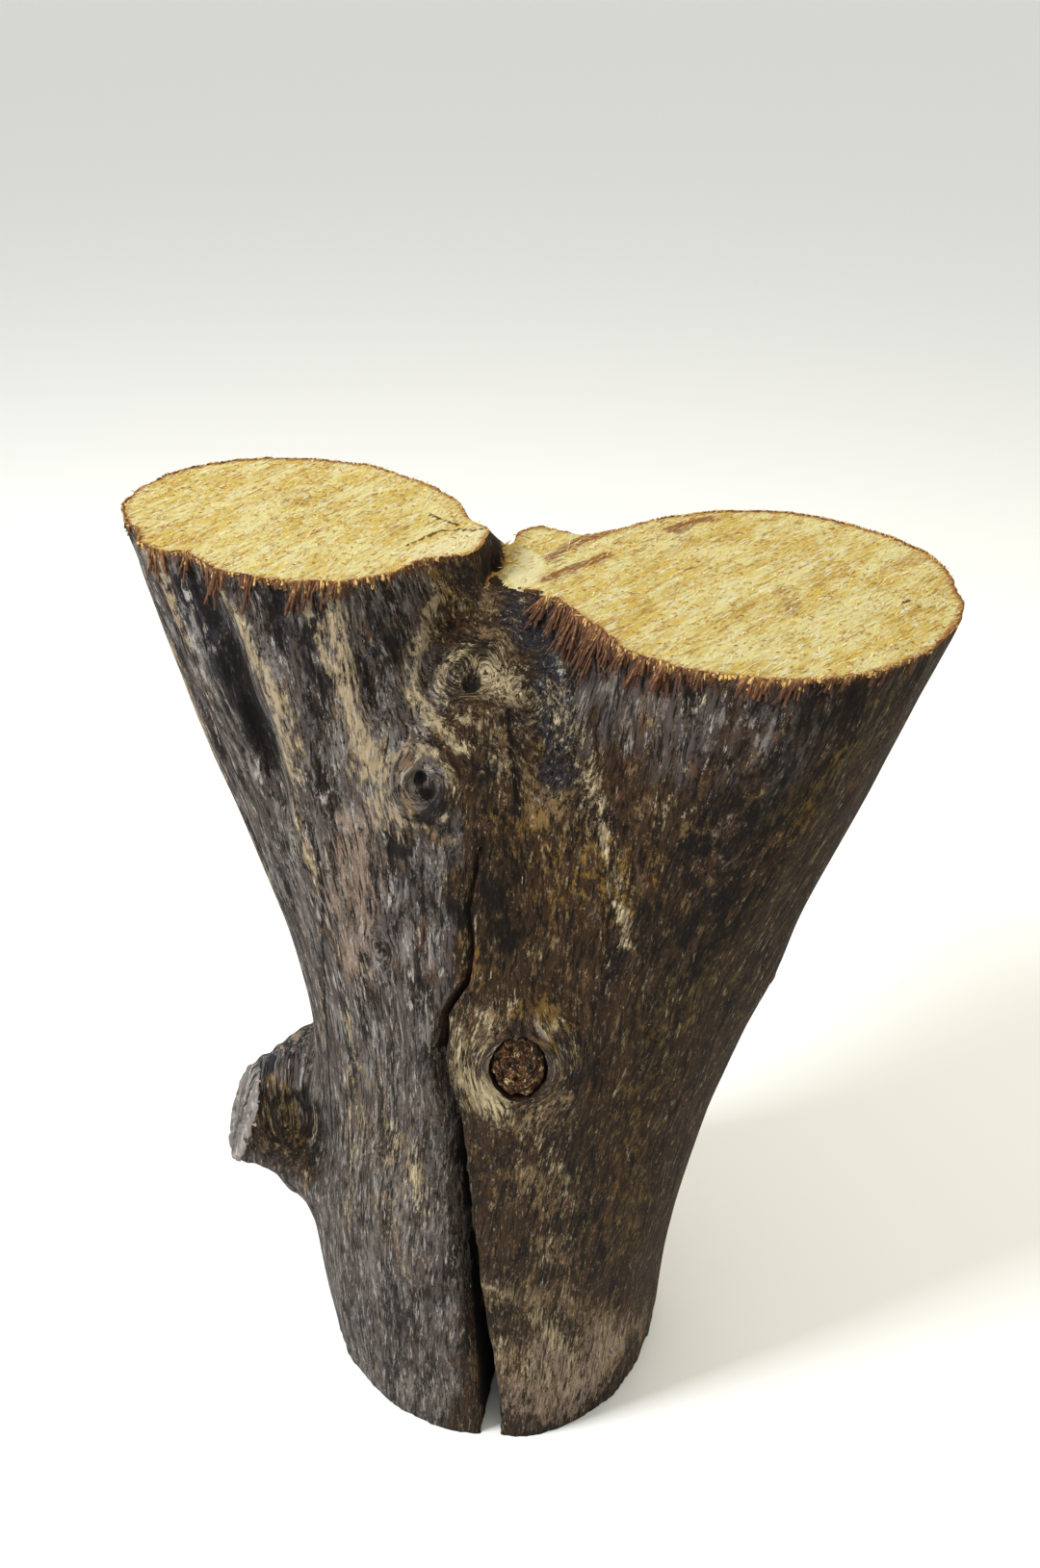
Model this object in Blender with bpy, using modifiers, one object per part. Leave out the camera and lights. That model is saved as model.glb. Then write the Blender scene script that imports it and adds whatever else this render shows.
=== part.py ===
"""A forked wood log that stands on its sawn foot, with both limbs sawn off level.

Metres, +Z up. The origin is the middle of the foot, on the sawn face that the log stands on.
X runs along the fork, from the left limb to the right one, and -Y is the side with the long crack.
The log grew as one piece, so it is one solid.
"""

import math
import random
from typing import NamedTuple

import bmesh
import bpy
from mathutils import Matrix, Vector, noise
from mathutils.geometry import intersect_point_line

MM = 0.001

# The sawn faces. The left one leans down towards the crotch.
RIGHT_CUT_HEIGHT = 500
LEFT_CUT_HEIGHT = 514
LEFT_CUT_TILT = math.radians(3)
# Where the two sawn faces part at the crotch, and the way from the left one to the right one.
CROTCH_PLACE = (-11, 52)
CROTCH_HEADING = math.radians(21)
SAW_REACH = 600

# Stations up the pith of each stem, in millimetres: (x, y, height, radius).
# The two stems share the trunk and part below the cuts.
LEFT_STEM = (
    (-8, 5, -60, 96),
    (-8, 6, 0, 98),
    (-12, 8, 70, 102),
    (-14, 11, 150, 101),
    (-16, 14, 240, 94),
    (-30, 18, 310, 90),
    (-56, 24, 375, 85),
    (-88, 31, 450, 83),
    (-117, 37, 520, 80),
    (-147, 43, 590, 78),
)
RIGHT_STEM = (
    (1, 8, -60, 92),
    (3, 9, 0, 95),
    (6, 10, 75, 97),
    (14, 13, 150, 97),
    (26, 20, 215, 96),
    (45, 31, 290, 95),
    (69, 43, 370, 94),
    (94, 54, 440, 93),
    (115, 61, 500, 92),
    (142, 68, 580, 90),
)
# How much deeper than wide the right stem is, front to back.
RIGHT_STEM_DEPTH = 1.06
# The saddle of wood between the limbs, from the left one to the right one.
SADDLE = (
    (-90, 30, 490, 44),
    (-50, 32, 494, 34),
    (-24, 39, 497, 22),
    (-6, 58, 488, 27),
    (20, 64, 479, 31),
    (70, 62, 470, 48),
)
# How much deeper than high the saddle is, front to back.
SADDLE_DEPTH = 1.7
# What fills the fork in front of the saddle and behind it.
FORK_WEB = (
    (0, 8, 60, 70),
    (0, 10, 200, 92),
    (-2, 16, 300, 97),
    (-6, 26, 390, 86),
    (-8, 36, 445, 66),
    (-8, 44, 480, 38),
)
# The stub of a side branch on the left, from the pith outwards.
STUB = (
    (5, 8, 150, 40),
    (-70, -4, 156, 77),
    (-99, -16, 160, 68),
    (-116, -28, 168, 51),
    (-131, -37, 173, 36),
    (-150, -46, 173, 28),
    (-180, -57, 176, 27),
)
# How deep the stub and its collar are for their height, front to back.
STUB_DEPTH = 0.74
STUB_TIP = (-147, -45, 168)
STUB_TIP_FACES = (-0.80, -0.50, 0.33)
STUB_SAW_REACH = 120
STEM_SIDES_QUARTER = 8
CURVE_STEPS = 6


class Knot(NamedTuple):
    """A knot in the skin: its place, how far and how high the wood swells round it, and its pit."""

    place: tuple
    reach: float
    swell: float
    pit_radius: float
    pit_depth: float


class Furrow(NamedTuple):
    """A long hollow in the skin that follows a path of points."""

    path: tuple
    width: float
    depth: float


KNOTS = (
    Knot((2, -16, 468), 44, 5.0, 8, 5.0),
    Knot((-20, -45, 425), 26, 3.0, 8, 4.5),
    Knot((-37, -69, 342), 15, 2.5, 5, 3.0),
    Knot((36, -77, 289), 40, 4.5, 17, 3.0),
    Knot((148, 8, 302), 26, 3.5, 5, 2.0),
    Knot((98, -57, 307), 16, 1.5, 5, 3.0),
    Knot((-100, -51, 186), 24, 0.0, 16, 6.0),
)
FURROWS = (
    Furrow(((-146, -38, 530), (-131, -40, 509), (-118, -44, 486), (-107, -47, 459), (-96, -53, 415)), 11, 5),
    Furrow(((-190, -10, 540), (-165, -22, 500), (-154, -23, 458), (-131, -36, 419), (-112, -47, 390)), 7, 3.5),
    Furrow(((-76, -40, 516), (-66, -46, 470), (-62, -55, 420)), 9, 2.5),
    Furrow(((8, 4, 505), (-2, 28, 512), (-8, 46, 515)), 7, 15),
    Furrow(((-8, 46, 515), (-18, 72, 512), (-28, 110, 480)), 4, 15),
    Furrow(((-8, -8, 490), (-8, 12, 503), (-6, 26, 508)), 12, 8),
    Furrow(((40, 0, 540), (42, -6, 505), (46, -24, 450)), 24, 9),
    Furrow(((-26, 0, 540), (-26, 2, 510), (-28, -14, 470)), 16, 8),
)
# Ridges that run with the grain: how many noise cells go round a stem, their length, their height.
FLUTES = (
    (0.75, 320, 3.4),
    (1.9, 210, 2.6),
    (4.2, 90, 1.5),
)
FLUTE_SEED = Vector((3.1, 7.7, 1.3))
# Where the flutes' own pith passes from the left stem's to the right stem's, along X.
PITH_SHARED = (-40, 30)

# The long crack up the front: (x, y, height, width, depth). It stops short of the pith.
CRACK = (
    (22, -89, -30, 11.0, 74),
    (21, -88, 20, 10.5, 74),
    (18, -89, 65, 9.5, 72),
    (14, -89, 106, 8.2, 68),
    (10, -87, 143, 7.2, 64),
    (6, -85, 177, 6.4, 60),
    (3, -85, 213, 5.8, 54),
    (3, -86, 240, 5.6, 50),
    (-3, -85, 273, 5.4, 44),
    (-6, -83, 292, 5.0, 38),
    (-2, -79, 316, 4.0, 32),
    (9, -73, 335, 3.2, 26),
    (11, -69, 353, 2.6, 20),
    (8, -64, 372, 2.0, 14),
    (11, -54, 402, 1.6, 6),
)
CRACK_MOUTH_REACH = 22
CRACK_ROOT_WIDTH = 0.6

# The dead branch end in the trunk, and the width and depth of the gap that dried open round it.
# The branch left the trunk upwards, so its end is taller than wide.
DEAD_KNOT = (36, -77, 289)
DEAD_KNOT_FACES = (0.30, -0.94, 0.13)
DEAD_KNOT_RADIUS = 14
DEAD_KNOT_STRETCH = 1.35
DEAD_KNOT_GAP = (1.8, 7)
DEAD_KNOT_SIDES = 28


class Fringe(NamedTuple):
    """Torn fibres that hang from the rim of a sawn face, from one angle round it to another.

    Angles are in degrees round the centre, from the front towards +X. Lengths go with the angle.
    """

    centre: tuple
    angles: tuple
    lengths: tuple
    count: int


FRINGES = (
    Fringe((-121, 38), (-125, -60, -10, 30, 60), (5, 10, 17, 14, 6), 60),
    Fringe((108, 61), (-78, -58, -30, -5, 40, 110), (8, 24, 26, 17, 10, 5), 84),
)
FRINGE_SEED = 41
FIBRE_SIDES = 3
FIBRE_WIDTH = (1.4, 2.8)
FIBRE_THICKNESS = 0.55
FIBRE_FLARE = (math.radians(4), math.radians(17))
FIBRE_SWAY = math.radians(9)
FIBRE_LENGTH_SPREAD = (0.55, 1.35)
FIBRE_SUNK = 0.3
FIBRE_BELOW_CUT = 0.5
# A face is sawn if its normal rises at least this far, and skin if it rises no further than that.
SAWN_RISE = 0.99
SKIN_RISE = 0.8
LOWEST_RIM = 490

SKIN_VOXEL = 4
SKIN_SMOOTHING = 16
SKIN_SOFTENING = 0.5
SKIN_TRIANGLES = 10800

WOOD_COLOUR = (0.16, 0.125, 0.095, 1)
WOOD_ROUGHNESS = 0.85


def millimetres(*values):
    """A point given in millimetres."""
    return Vector(values) * MM


def turned_to(direction):
    """The rotation that takes +Z to the direction."""
    return Vector(direction).to_track_quat("Z", "Y").to_matrix().to_4x4()


def collection_named(name):
    """A new collection in the scene."""
    made = bpy.data.collections.new(name)
    bpy.context.scene.collection.children.link(made)
    return made


def object_from(mesh, name, collection):
    """A new object that holds the mesh."""
    made = bpy.data.objects.new(name, mesh)
    collection.objects.link(made)
    return made


def mesh_from(shape, name):
    """A mesh made from a bmesh, which is then freed."""
    mesh = bpy.data.meshes.new(name)
    shape.to_mesh(mesh)
    shape.free()
    return mesh


def evaluated_mesh(obj):
    """The object's mesh with its modifiers applied, placed in the world."""
    bpy.context.view_layer.update()
    graph = bpy.context.evaluated_depsgraph_get()
    mesh = bpy.data.meshes.new_from_object(obj.evaluated_get(graph))
    mesh.transform(obj.matrix_world)
    return mesh


def apply_modifiers(obj):
    """Replaces the object's mesh with the one that its modifiers make."""
    mesh = evaluated_mesh(obj)
    obj.modifiers.clear()
    obj.data = mesh
    obj.matrix_world = Matrix.Identity(4)


def stem_curve(name, stations, depth, collection):
    """A tapered stem along its pith, as a bevelled curve with filled ends, deepened front to back."""
    curve = bpy.data.curves.new(name, "CURVE")
    curve.dimensions = "3D"
    curve.bevel_depth = 1.0
    curve.bevel_resolution = STEM_SIDES_QUARTER
    curve.use_fill_caps = True
    curve.resolution_u = CURVE_STEPS
    spline = curve.splines.new("BEZIER")
    spline.radius_interpolation = "CARDINAL"
    spline.bezier_points.add(len(stations) - 1)
    for point, (x, y, height, radius) in zip(spline.bezier_points, stations):
        point.co = millimetres(x, y / depth, height)
        point.radius = radius * MM
        point.handle_left_type = "AUTO"
        point.handle_right_type = "AUTO"
    made = bpy.data.objects.new(name, curve)
    made.scale.y = depth
    collection.objects.link(made)
    return made


def grown_skin(collection):
    """The whole log before it was sawn: its stems run together and their joins smoothed."""
    joined = bmesh.new()
    for name, stations, depth in (
        ("left_stem", LEFT_STEM, 1.0),
        ("right_stem", RIGHT_STEM, RIGHT_STEM_DEPTH),
        ("saddle", SADDLE, SADDLE_DEPTH),
        ("fork_web", FORK_WEB, 1.0),
        ("stub", STUB, STUB_DEPTH),
    ):
        curve = stem_curve(name, stations, depth, collection)
        joined.from_mesh(evaluated_mesh(curve))
        bpy.data.objects.remove(curve)
    bmesh.ops.remove_doubles(joined, verts=joined.verts, dist=0.01 * MM)
    log = object_from(mesh_from(joined, "log"), "log", collection)
    remesh = log.modifiers.new("grown together", "REMESH")
    remesh.mode = "VOXEL"
    remesh.voxel_size = SKIN_VOXEL * MM
    smooth = log.modifiers.new("soft joins", "SMOOTH")
    smooth.factor = SKIN_SOFTENING
    smooth.iterations = SKIN_SMOOTHING
    apply_modifiers(log)
    return log


def pith_at(stations, height):
    """The pith's x and y at a height, along straight lines between the stations."""
    for low, high in zip(stations, stations[1:]):
        if height <= high[2]:
            break
    share = (height - low[2]) / (high[2] - low[2])
    return Vector(low[:2]).lerp(Vector(high[:2]), share)


def smooth_step(value):
    """A soft step from 0 to 1."""
    value = min(max(value, 0.0), 1.0)
    return value * value * (3 - 2 * value)


def bell(distance, width):
    """A bell curve, 1 at no distance."""
    return math.exp(-((distance / width) ** 2))


def distance_to_path(point, path):
    """How far the point lies from the nearest stretch of the path."""
    nearest = math.inf
    for start, end in zip(path, path[1:]):
        start, end = Vector(start), Vector(end)
        share = intersect_point_line(point, start, end)[1]
        closest = start.lerp(end, min(max(share, 0.0), 1.0))
        nearest = min(nearest, (point - closest).length)
    return nearest


def flutes(point):
    """The long ridges and hollows at a point in millimetres, stretched along the grain."""
    left_end, right_end = PITH_SHARED
    side = smooth_step((point.x - left_end) / (right_end - left_end))
    pith = pith_at(LEFT_STEM, point.z).lerp(pith_at(RIGHT_STEM, point.z), side)
    around = (point.xy - pith).normalized()
    height = 0.0
    for cells, length, amount in FLUTES:
        place = Vector((around.x * cells, around.y * cells, point.z / length))
        height += amount * noise.noise(place + FLUTE_SEED * cells)
    return height


def relief(point):
    """How far the skin stands out at a point, all in millimetres."""
    height = flutes(point)
    for knot in KNOTS:
        distance = (point - Vector(knot.place)).length
        height += knot.swell * bell(distance, knot.reach)
        height -= knot.pit_depth * bell(distance, knot.pit_radius)
    for furrow in FURROWS:
        height -= furrow.depth * bell(distance_to_path(point, furrow.path), furrow.width)
    return height


def carve_relief(log):
    """Moves the skin out and in by its relief, then thins its faces."""
    normals = [vertex.normal.copy() for vertex in log.data.vertices]
    for vertex, normal in zip(log.data.vertices, normals):
        vertex.co += normal * relief(vertex.co / MM) * MM
    decimate = log.modifiers.new("few faces", "DECIMATE")
    decimate.ratio = SKIN_TRIANGLES / (2 * len(log.data.polygons))
    apply_modifiers(log)


def cutting_box(name, reach, matrix, collection):
    """A cube that is cut away, standing on the plane where the matrix puts its foot."""
    bpy.ops.mesh.primitive_cube_add(size=reach * MM)
    box = bpy.context.object
    box.name = name
    box.data.transform(matrix @ Matrix.Translation((0, 0, reach * MM / 2)))
    for other in list(box.users_collection):
        other.objects.unlink(box)
    collection.objects.link(box)
    return box


def saw_cuts(collection):
    """What the saw took off: below the foot, over each limb and off the stub."""
    heading = Matrix.Rotation(CROTCH_HEADING, 4, "Z")
    left_corner = Matrix.Translation(millimetres(*CROTCH_PLACE, LEFT_CUT_HEIGHT)) @ heading
    right_corner = Matrix.Translation(millimetres(*CROTCH_PLACE, RIGHT_CUT_HEIGHT)) @ heading
    half = Matrix.Translation(millimetres(SAW_REACH / 2, 0, 0))
    tilt = Matrix.Rotation(LEFT_CUT_TILT, 4, "Y")
    flipped = Matrix.Rotation(math.pi, 4, "X")
    stub = Matrix.Translation(millimetres(*STUB_TIP)) @ turned_to(STUB_TIP_FACES)
    return (
        cutting_box("foot_cut", SAW_REACH, flipped, collection),
        cutting_box("left_cut", SAW_REACH, left_corner @ tilt @ half.inverted(), collection),
        cutting_box("right_cut", SAW_REACH, right_corner @ half, collection),
        cutting_box("stub_cut", STUB_SAW_REACH, stub, collection),
    )


def crack_wedge(collection):
    """The gap of the long crack, lofted through its stations from a wide mouth to a thin root."""
    shape = bmesh.new()
    rings = []
    for x, y, height, width, depth in CRACK:
        mouth = Vector((x, y, height))
        outward = (mouth.xy - pith_at(RIGHT_STEM, height)).normalized().to_3d()
        across = outward.cross(Vector((0, 0, 1)))
        far = mouth + outward * CRACK_MOUTH_REACH
        flare = width / 2 * (1 + CRACK_MOUTH_REACH / depth)
        root = mouth - outward * depth
        corners = (
            far - across * flare,
            root - across * CRACK_ROOT_WIDTH / 2,
            root + across * CRACK_ROOT_WIDTH / 2,
            far + across * flare,
        )
        rings.append([shape.verts.new(corner * MM) for corner in corners])
    for low, high in zip(rings, rings[1:]):
        for side in range(4):
            turn = (side + 1) % 4
            shape.faces.new((low[side], low[turn], high[turn], high[side]))
    shape.faces.new(reversed(rings[0]))
    shape.faces.new(rings[-1])
    bmesh.ops.recalc_face_normals(shape, faces=shape.faces)
    return object_from(mesh_from(shape, "crack_gap"), "crack_gap", collection)


def dead_knot_gap(collection):
    """The ring-shaped gap round the dead branch end, as a turned slot."""
    width, reach = DEAD_KNOT_GAP
    outer = DEAD_KNOT_RADIUS + width / 2
    inner = DEAD_KNOT_RADIUS - width / 2
    profile = bmesh.new()
    corners = ((outer, reach), (outer, -reach), (inner, -reach), (inner, reach))
    loop = [profile.verts.new(millimetres(radius, 0, height)) for radius, height in corners]
    for start, end in zip(loop, loop[1:] + loop[:1]):
        profile.edges.new((start, end))
    ring = object_from(mesh_from(profile, "dead_knot_gap"), "dead_knot_gap", collection)
    screw = ring.modifiers.new("turned", "SCREW")
    screw.steps = DEAD_KNOT_SIDES
    screw.render_steps = DEAD_KNOT_SIDES
    screw.use_merge_vertices = True
    screw.merge_threshold = 0.01 * MM
    apply_modifiers(ring)
    stretch = Matrix.Diagonal((1, DEAD_KNOT_STRETCH, 1, 1))
    ring.data.transform(Matrix.Translation(millimetres(*DEAD_KNOT)) @ turned_to(DEAD_KNOT_FACES) @ stretch)
    return ring


def subtract(log, cutter):
    """Adds the Boolean that takes the cutter out of the log."""
    cutter.hide_render = True
    cutter.display_type = "WIRE"
    modifier = log.modifiers.new(cutter.name, "BOOLEAN")
    modifier.operation = "DIFFERENCE"
    modifier.solver = "EXACT"
    modifier.object = cutter


def rim_edges(log, centre):
    """The edges between a sawn top and the skin, on the side of the log that the centre is on."""
    shape = bmesh.new()
    shape.from_mesh(log.data)
    shape.normal_update()
    rim = []
    for edge in shape.edges:
        flat = [face for face in edge.link_faces if face.normal.z > SAWN_RISE]
        skin = [face for face in edge.link_faces if face.normal.z < SKIN_RISE]
        middle = (edge.verts[0].co + edge.verts[1].co) / 2 / MM
        on_this_side = middle.x * centre[0] > 0 and middle.z > LOWEST_RIM
        if len(flat) == 1 and len(skin) == 1 and on_this_side:
            ends = tuple(vertex.co / MM for vertex in edge.verts)
            rim.append((ends, skin[0].normal.copy()))
    shape.free()
    return rim


def rim_angle(point, centre):
    """The point's angle round the centre in degrees, from the front towards +X."""
    return math.degrees(math.atan2(point.x - centre[0], centre[1] - point.y))


def length_at(fringe, angle):
    """The fibres' length at an angle round the rim, or none outside the fringe."""
    spans = zip(zip(fringe.angles, fringe.lengths), zip(fringe.angles[1:], fringe.lengths[1:]))
    for (start, first), (end, last) in spans:
        if start <= angle <= end:
            return first + (last - first) * (angle - start) / (end - start)
    return None


def fibre(draw, place, skin_normal, length):
    """One torn fibre: a thin cone with its root in the rim and its tip down along the skin."""
    downward = Vector((0, 0, -1))
    along = (downward - skin_normal * downward.dot(skin_normal)).normalized()
    across = along.cross(skin_normal)
    flare = draw.uniform(*FIBRE_FLARE)
    sway = draw.uniform(-FIBRE_SWAY, FIBRE_SWAY)
    axis = (along + skin_normal * math.tan(flare) + across * math.tan(sway)).normalized()
    width = draw.uniform(*FIBRE_WIDTH)
    thick = axis.cross(across).normalized()
    wide = thick.cross(axis)
    root = place + along * FIBRE_BELOW_CUT - skin_normal * FIBRE_SUNK
    turn = Matrix((wide, thick, axis)).transposed().to_4x4()
    shape = bmesh.new()
    bmesh.ops.create_cone(
        shape, cap_ends=True, segments=FIBRE_SIDES, radius1=1, radius2=0, depth=1,
        matrix=Matrix.Translation((0, 0, 0.5)),
    )
    size = Matrix.Diagonal((width, width * FIBRE_THICKNESS, length, 1))
    bmesh.ops.transform(shape, verts=shape.verts, matrix=Matrix.Translation(root) @ turn @ size)
    bmesh.ops.scale(shape, verts=shape.verts, vec=(MM, MM, MM))
    return shape


def fringe_fibres(log, collection):
    """The torn fibres on both rims, as objects for one Boolean union."""
    draw = random.Random(FRINGE_SEED)
    for fringe in FRINGES:
        rim = rim_edges(log, fringe.centre)
        lengths = [(start - end).length for (start, end), normal in rim]
        made = 0
        while made < fringe.count:
            (start, end), normal = draw.choices(rim, lengths)[0]
            place = start.lerp(end, draw.random())
            length = length_at(fringe, rim_angle(place, fringe.centre))
            if length is None:
                continue
            length *= draw.uniform(*FIBRE_LENGTH_SPREAD)
            object_from(mesh_from(fibre(draw, place, normal, length), "fibre"), "fibre", collection)
            made += 1


def join_fringe(log, collection):
    """Joins the fibres to the log with one union, and removes their objects."""
    modifier = log.modifiers.new("fringe", "BOOLEAN")
    modifier.operation = "UNION"
    modifier.operand_type = "COLLECTION"
    modifier.solver = "MANIFOLD"
    modifier.collection = collection
    apply_modifiers(log)
    for obj in list(collection.objects):
        bpy.data.objects.remove(obj)
    bpy.data.collections.remove(collection)


def shells(shape):
    """The faces of each closed shell in a bmesh."""
    left = set(shape.faces)
    while left:
        reached = [left.pop()]
        shell = []
        while reached:
            face = reached.pop()
            shell.append(face)
            for edge in face.edges:
                for neighbour in edge.link_faces:
                    if neighbour in left:
                        left.remove(neighbour)
                        reached.append(neighbour)
        yield shell


def drop_scraps(log):
    """Removes chips that the saw and the fringe left loose, so that one shell remains."""
    shape = bmesh.new()
    shape.from_mesh(log.data)
    found = sorted(shells(shape), key=len)
    chips = [face for shell in found[:-1] for face in shell]
    bmesh.ops.delete(shape, geom=chips, context="FACES")
    shape.to_mesh(log.data)
    shape.free()


def wood_material():
    """Weathered wood without its bark, dull grey-brown."""
    material = bpy.data.materials.new("weathered_wood")
    material.use_nodes = True
    shader = material.node_tree.nodes["Principled BSDF"]
    shader.inputs["Base Color"].default_value = WOOD_COLOUR
    shader.inputs["Roughness"].default_value = WOOD_ROUGHNESS
    shader.inputs["Metallic"].default_value = 0.0
    return material


def main():
    for old in list(bpy.data.objects):
        bpy.data.objects.remove(old)
    parts = collection_named("wood_log")
    cutters = collection_named("cutters")
    fibres = collection_named("fibres")
    log = grown_skin(parts)
    carve_relief(log)
    for cutter in saw_cuts(cutters):
        subtract(log, cutter)
    apply_modifiers(log)
    fringe_fibres(log, fibres)
    join_fringe(log, fibres)
    drop_scraps(log)
    subtract(log, crack_wedge(cutters))
    subtract(log, dead_knot_gap(cutters))
    log.data.materials.clear()
    log.data.materials.append(wood_material())


main()
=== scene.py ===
"""The looks of a forked wood log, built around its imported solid.

The part's frame is kept: metres, +Z up, the origin in the middle of the sawn foot, -Y the side with the
long crack. Sizes in the classes are millimetres, and angles round a stem run from the front towards +X.
"""

import itertools
import logging
import math
import random
from dataclasses import dataclass
from enum import Enum, IntEnum, StrEnum, auto

import bmesh
import bpy
import numpy as np
from mathutils import Matrix, Vector, kdtree


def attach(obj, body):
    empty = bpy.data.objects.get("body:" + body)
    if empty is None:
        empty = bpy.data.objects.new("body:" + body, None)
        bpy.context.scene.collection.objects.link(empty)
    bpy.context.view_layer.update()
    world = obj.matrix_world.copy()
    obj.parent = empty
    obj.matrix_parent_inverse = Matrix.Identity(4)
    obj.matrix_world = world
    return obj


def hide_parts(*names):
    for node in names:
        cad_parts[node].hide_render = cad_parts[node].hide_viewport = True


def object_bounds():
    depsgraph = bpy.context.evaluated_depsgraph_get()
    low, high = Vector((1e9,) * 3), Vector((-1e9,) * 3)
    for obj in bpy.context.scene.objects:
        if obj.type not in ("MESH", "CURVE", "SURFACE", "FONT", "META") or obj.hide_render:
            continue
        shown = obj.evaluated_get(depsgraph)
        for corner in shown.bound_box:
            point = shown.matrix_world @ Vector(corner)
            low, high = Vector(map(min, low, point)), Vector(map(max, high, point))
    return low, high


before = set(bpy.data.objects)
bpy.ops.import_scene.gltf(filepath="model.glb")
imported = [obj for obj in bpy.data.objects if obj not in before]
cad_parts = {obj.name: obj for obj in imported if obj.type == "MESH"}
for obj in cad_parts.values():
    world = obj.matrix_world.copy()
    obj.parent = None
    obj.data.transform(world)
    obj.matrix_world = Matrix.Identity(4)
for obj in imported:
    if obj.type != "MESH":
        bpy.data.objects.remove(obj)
cad_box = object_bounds()

MM = 0.001
NODE = "log"
BODY = "root"

# How far inside the solid's box every piece stays, in millimetres.
BOX_MARGIN = 0.05

# Sockets of the Mix node when it mixes colours.
MIX_BELOW = 6
MIX_ABOVE = 7
MIX_RESULT = 2

# Large odd numbers that scatter the cells of a noise, and half the range of the 16 bits kept of each.
SCATTER_X = 374761393
SCATTER_Y = 668265263
SCATTER_Z = 974634777
SCATTER_SEED = 1442695041
SCATTER_MIX = 1274126177
HALF_RANGE = 32767.5

Array = np.ndarray
Point = tuple[float, float, float]
Path = tuple[Point, ...]
Noises = tuple[tuple[float, float, float], ...]
log = logging.getLogger("wood_log")


class Seed(IntEnum):
    """Picks each feature's noise."""

    WANDER = 5
    WHORL = 8
    FLUTES = 11
    CRACK_LEFT = 21
    CRACK_RIGHT = 22
    POCKET = 31
    BRANCH_EDGE = 33
    BRANCH_END = 41
    SAW_MARKS = 51
    STUB_END = 61
    DRIFT = 71
    STROKES = 81


# Small tools for meshes and numbers


def soft_noise(places: Array, seed: int) -> Array:
    """Smooth random values over space.

    Args:
        places: Points, one cell of the noise apart per unit.
        seed: Picks one noise among many.

    Returns:
        One value from -1 to 1 for each point.
    """
    cell = np.floor(places).astype(np.int64)
    share = places - cell
    share = share * share * (3 - 2 * share)
    total = np.zeros(len(places))
    for corner in itertools.product((0, 1), repeat=3):
        x, y, z = (cell + corner).T
        mixed = x * SCATTER_X + y * SCATTER_Y + z * SCATTER_Z + seed * SCATTER_SEED
        mixed = (mixed ^ (mixed >> 13)) * SCATTER_MIX
        value = ((mixed ^ (mixed >> 16)) & 0xFFFF) / HALF_RANGE - 1
        total += value * np.prod(np.where(corner, share, 1 - share), axis=1)
    return total


def smooth_step(value: Array, low: float, high: float) -> Array:
    """A soft step from 0 at low to 1 at high."""
    share = np.clip((value - low) / (high - low), 0, 1)
    return share * share * (3 - 2 * share)


def bell(distance: Array, width: float) -> Array:
    """A bell curve, 1 at no distance."""
    return np.exp(-((distance / width) ** 2))


def path_distance(points: Array, path: Path) -> Array:
    """How far each point lies from the nearest stretch of a path.

    Args:
        points: The points.
        path: The path's corners.

    Returns:
        One distance for each point.
    """
    nearest = np.linalg.norm(points - np.array(path[0], float), axis=1)
    for start, end in zip(path, path[1:]):
        start, end = np.array(start, float), np.array(end, float)
        along = end - start
        share = np.clip((points - start) @ along / (along @ along), 0, 1)
        gap = np.linalg.norm(points - start - share[:, None] * along, axis=1)
        nearest = np.minimum(nearest, gap)
    return nearest


def unit(vectors: Array) -> Array:
    """The vectors at length 1."""
    return vectors / np.maximum(np.linalg.norm(vectors, axis=-1, keepdims=True), 1e-9)


def dots(first: Array, second: Array) -> Array:
    """The dot product of each pair of rows."""
    return np.einsum("ij,ij->i", first, second)


def read_points(mesh: bpy.types.Mesh) -> Array:
    """The mesh's vertices in millimetres.

    Args:
        mesh: The mesh.

    Returns:
        A row for each vertex.
    """
    flat = np.empty(len(mesh.vertices) * 3, np.float32)
    mesh.vertices.foreach_get("co", flat)
    return flat.reshape(-1, 3).astype(float) / MM


def write_points(mesh: bpy.types.Mesh, points: Array) -> None:
    """Moves the mesh's vertices to points in millimetres."""
    mesh.vertices.foreach_set("co", (points * MM).astype(np.float32).ravel())
    mesh.update()


def read_normals(mesh: bpy.types.Mesh) -> Array:
    """The mesh's vertex normals.

    Args:
        mesh: The mesh.

    Returns:
        A row for each vertex.
    """
    flat = np.empty(len(mesh.vertices) * 3, np.float32)
    mesh.vertex_normals.foreach_get("vector", flat)
    return flat.reshape(-1, 3).astype(float)


def read_edges(mesh: bpy.types.Mesh) -> Array:
    """The mesh's edges.

    Args:
        mesh: The mesh.

    Returns:
        A row of two vertex numbers for each edge.
    """
    flat = np.empty(len(mesh.edges) * 2, np.int32)
    mesh.edges.foreach_get("vertices", flat)
    return flat.reshape(-1, 2)


def relaxed(points: Array, edges: Array, free: Array, rounds: int) -> Array:
    """Points that have moved towards the middle of their neighbours.

    Args:
        points: The points.
        edges: Which points are neighbours.
        free: From 0 for a point that stays to 1 for one that moves.
        rounds: How many times they move.

    Returns:
        The moved points.
    """
    size = len(points)
    first, second = edges.T
    count = np.bincount(edges.ravel(), minlength=size)[:, None]
    for _ in range(rounds):
        total = np.stack(
            [
                np.bincount(first, points[second, axis], size)
                + np.bincount(second, points[first, axis], size)
                for axis in range(3)
            ],
            axis=1,
        )
        points = points + 0.5 * free[:, None] * (total / count - points)
    return points


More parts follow.
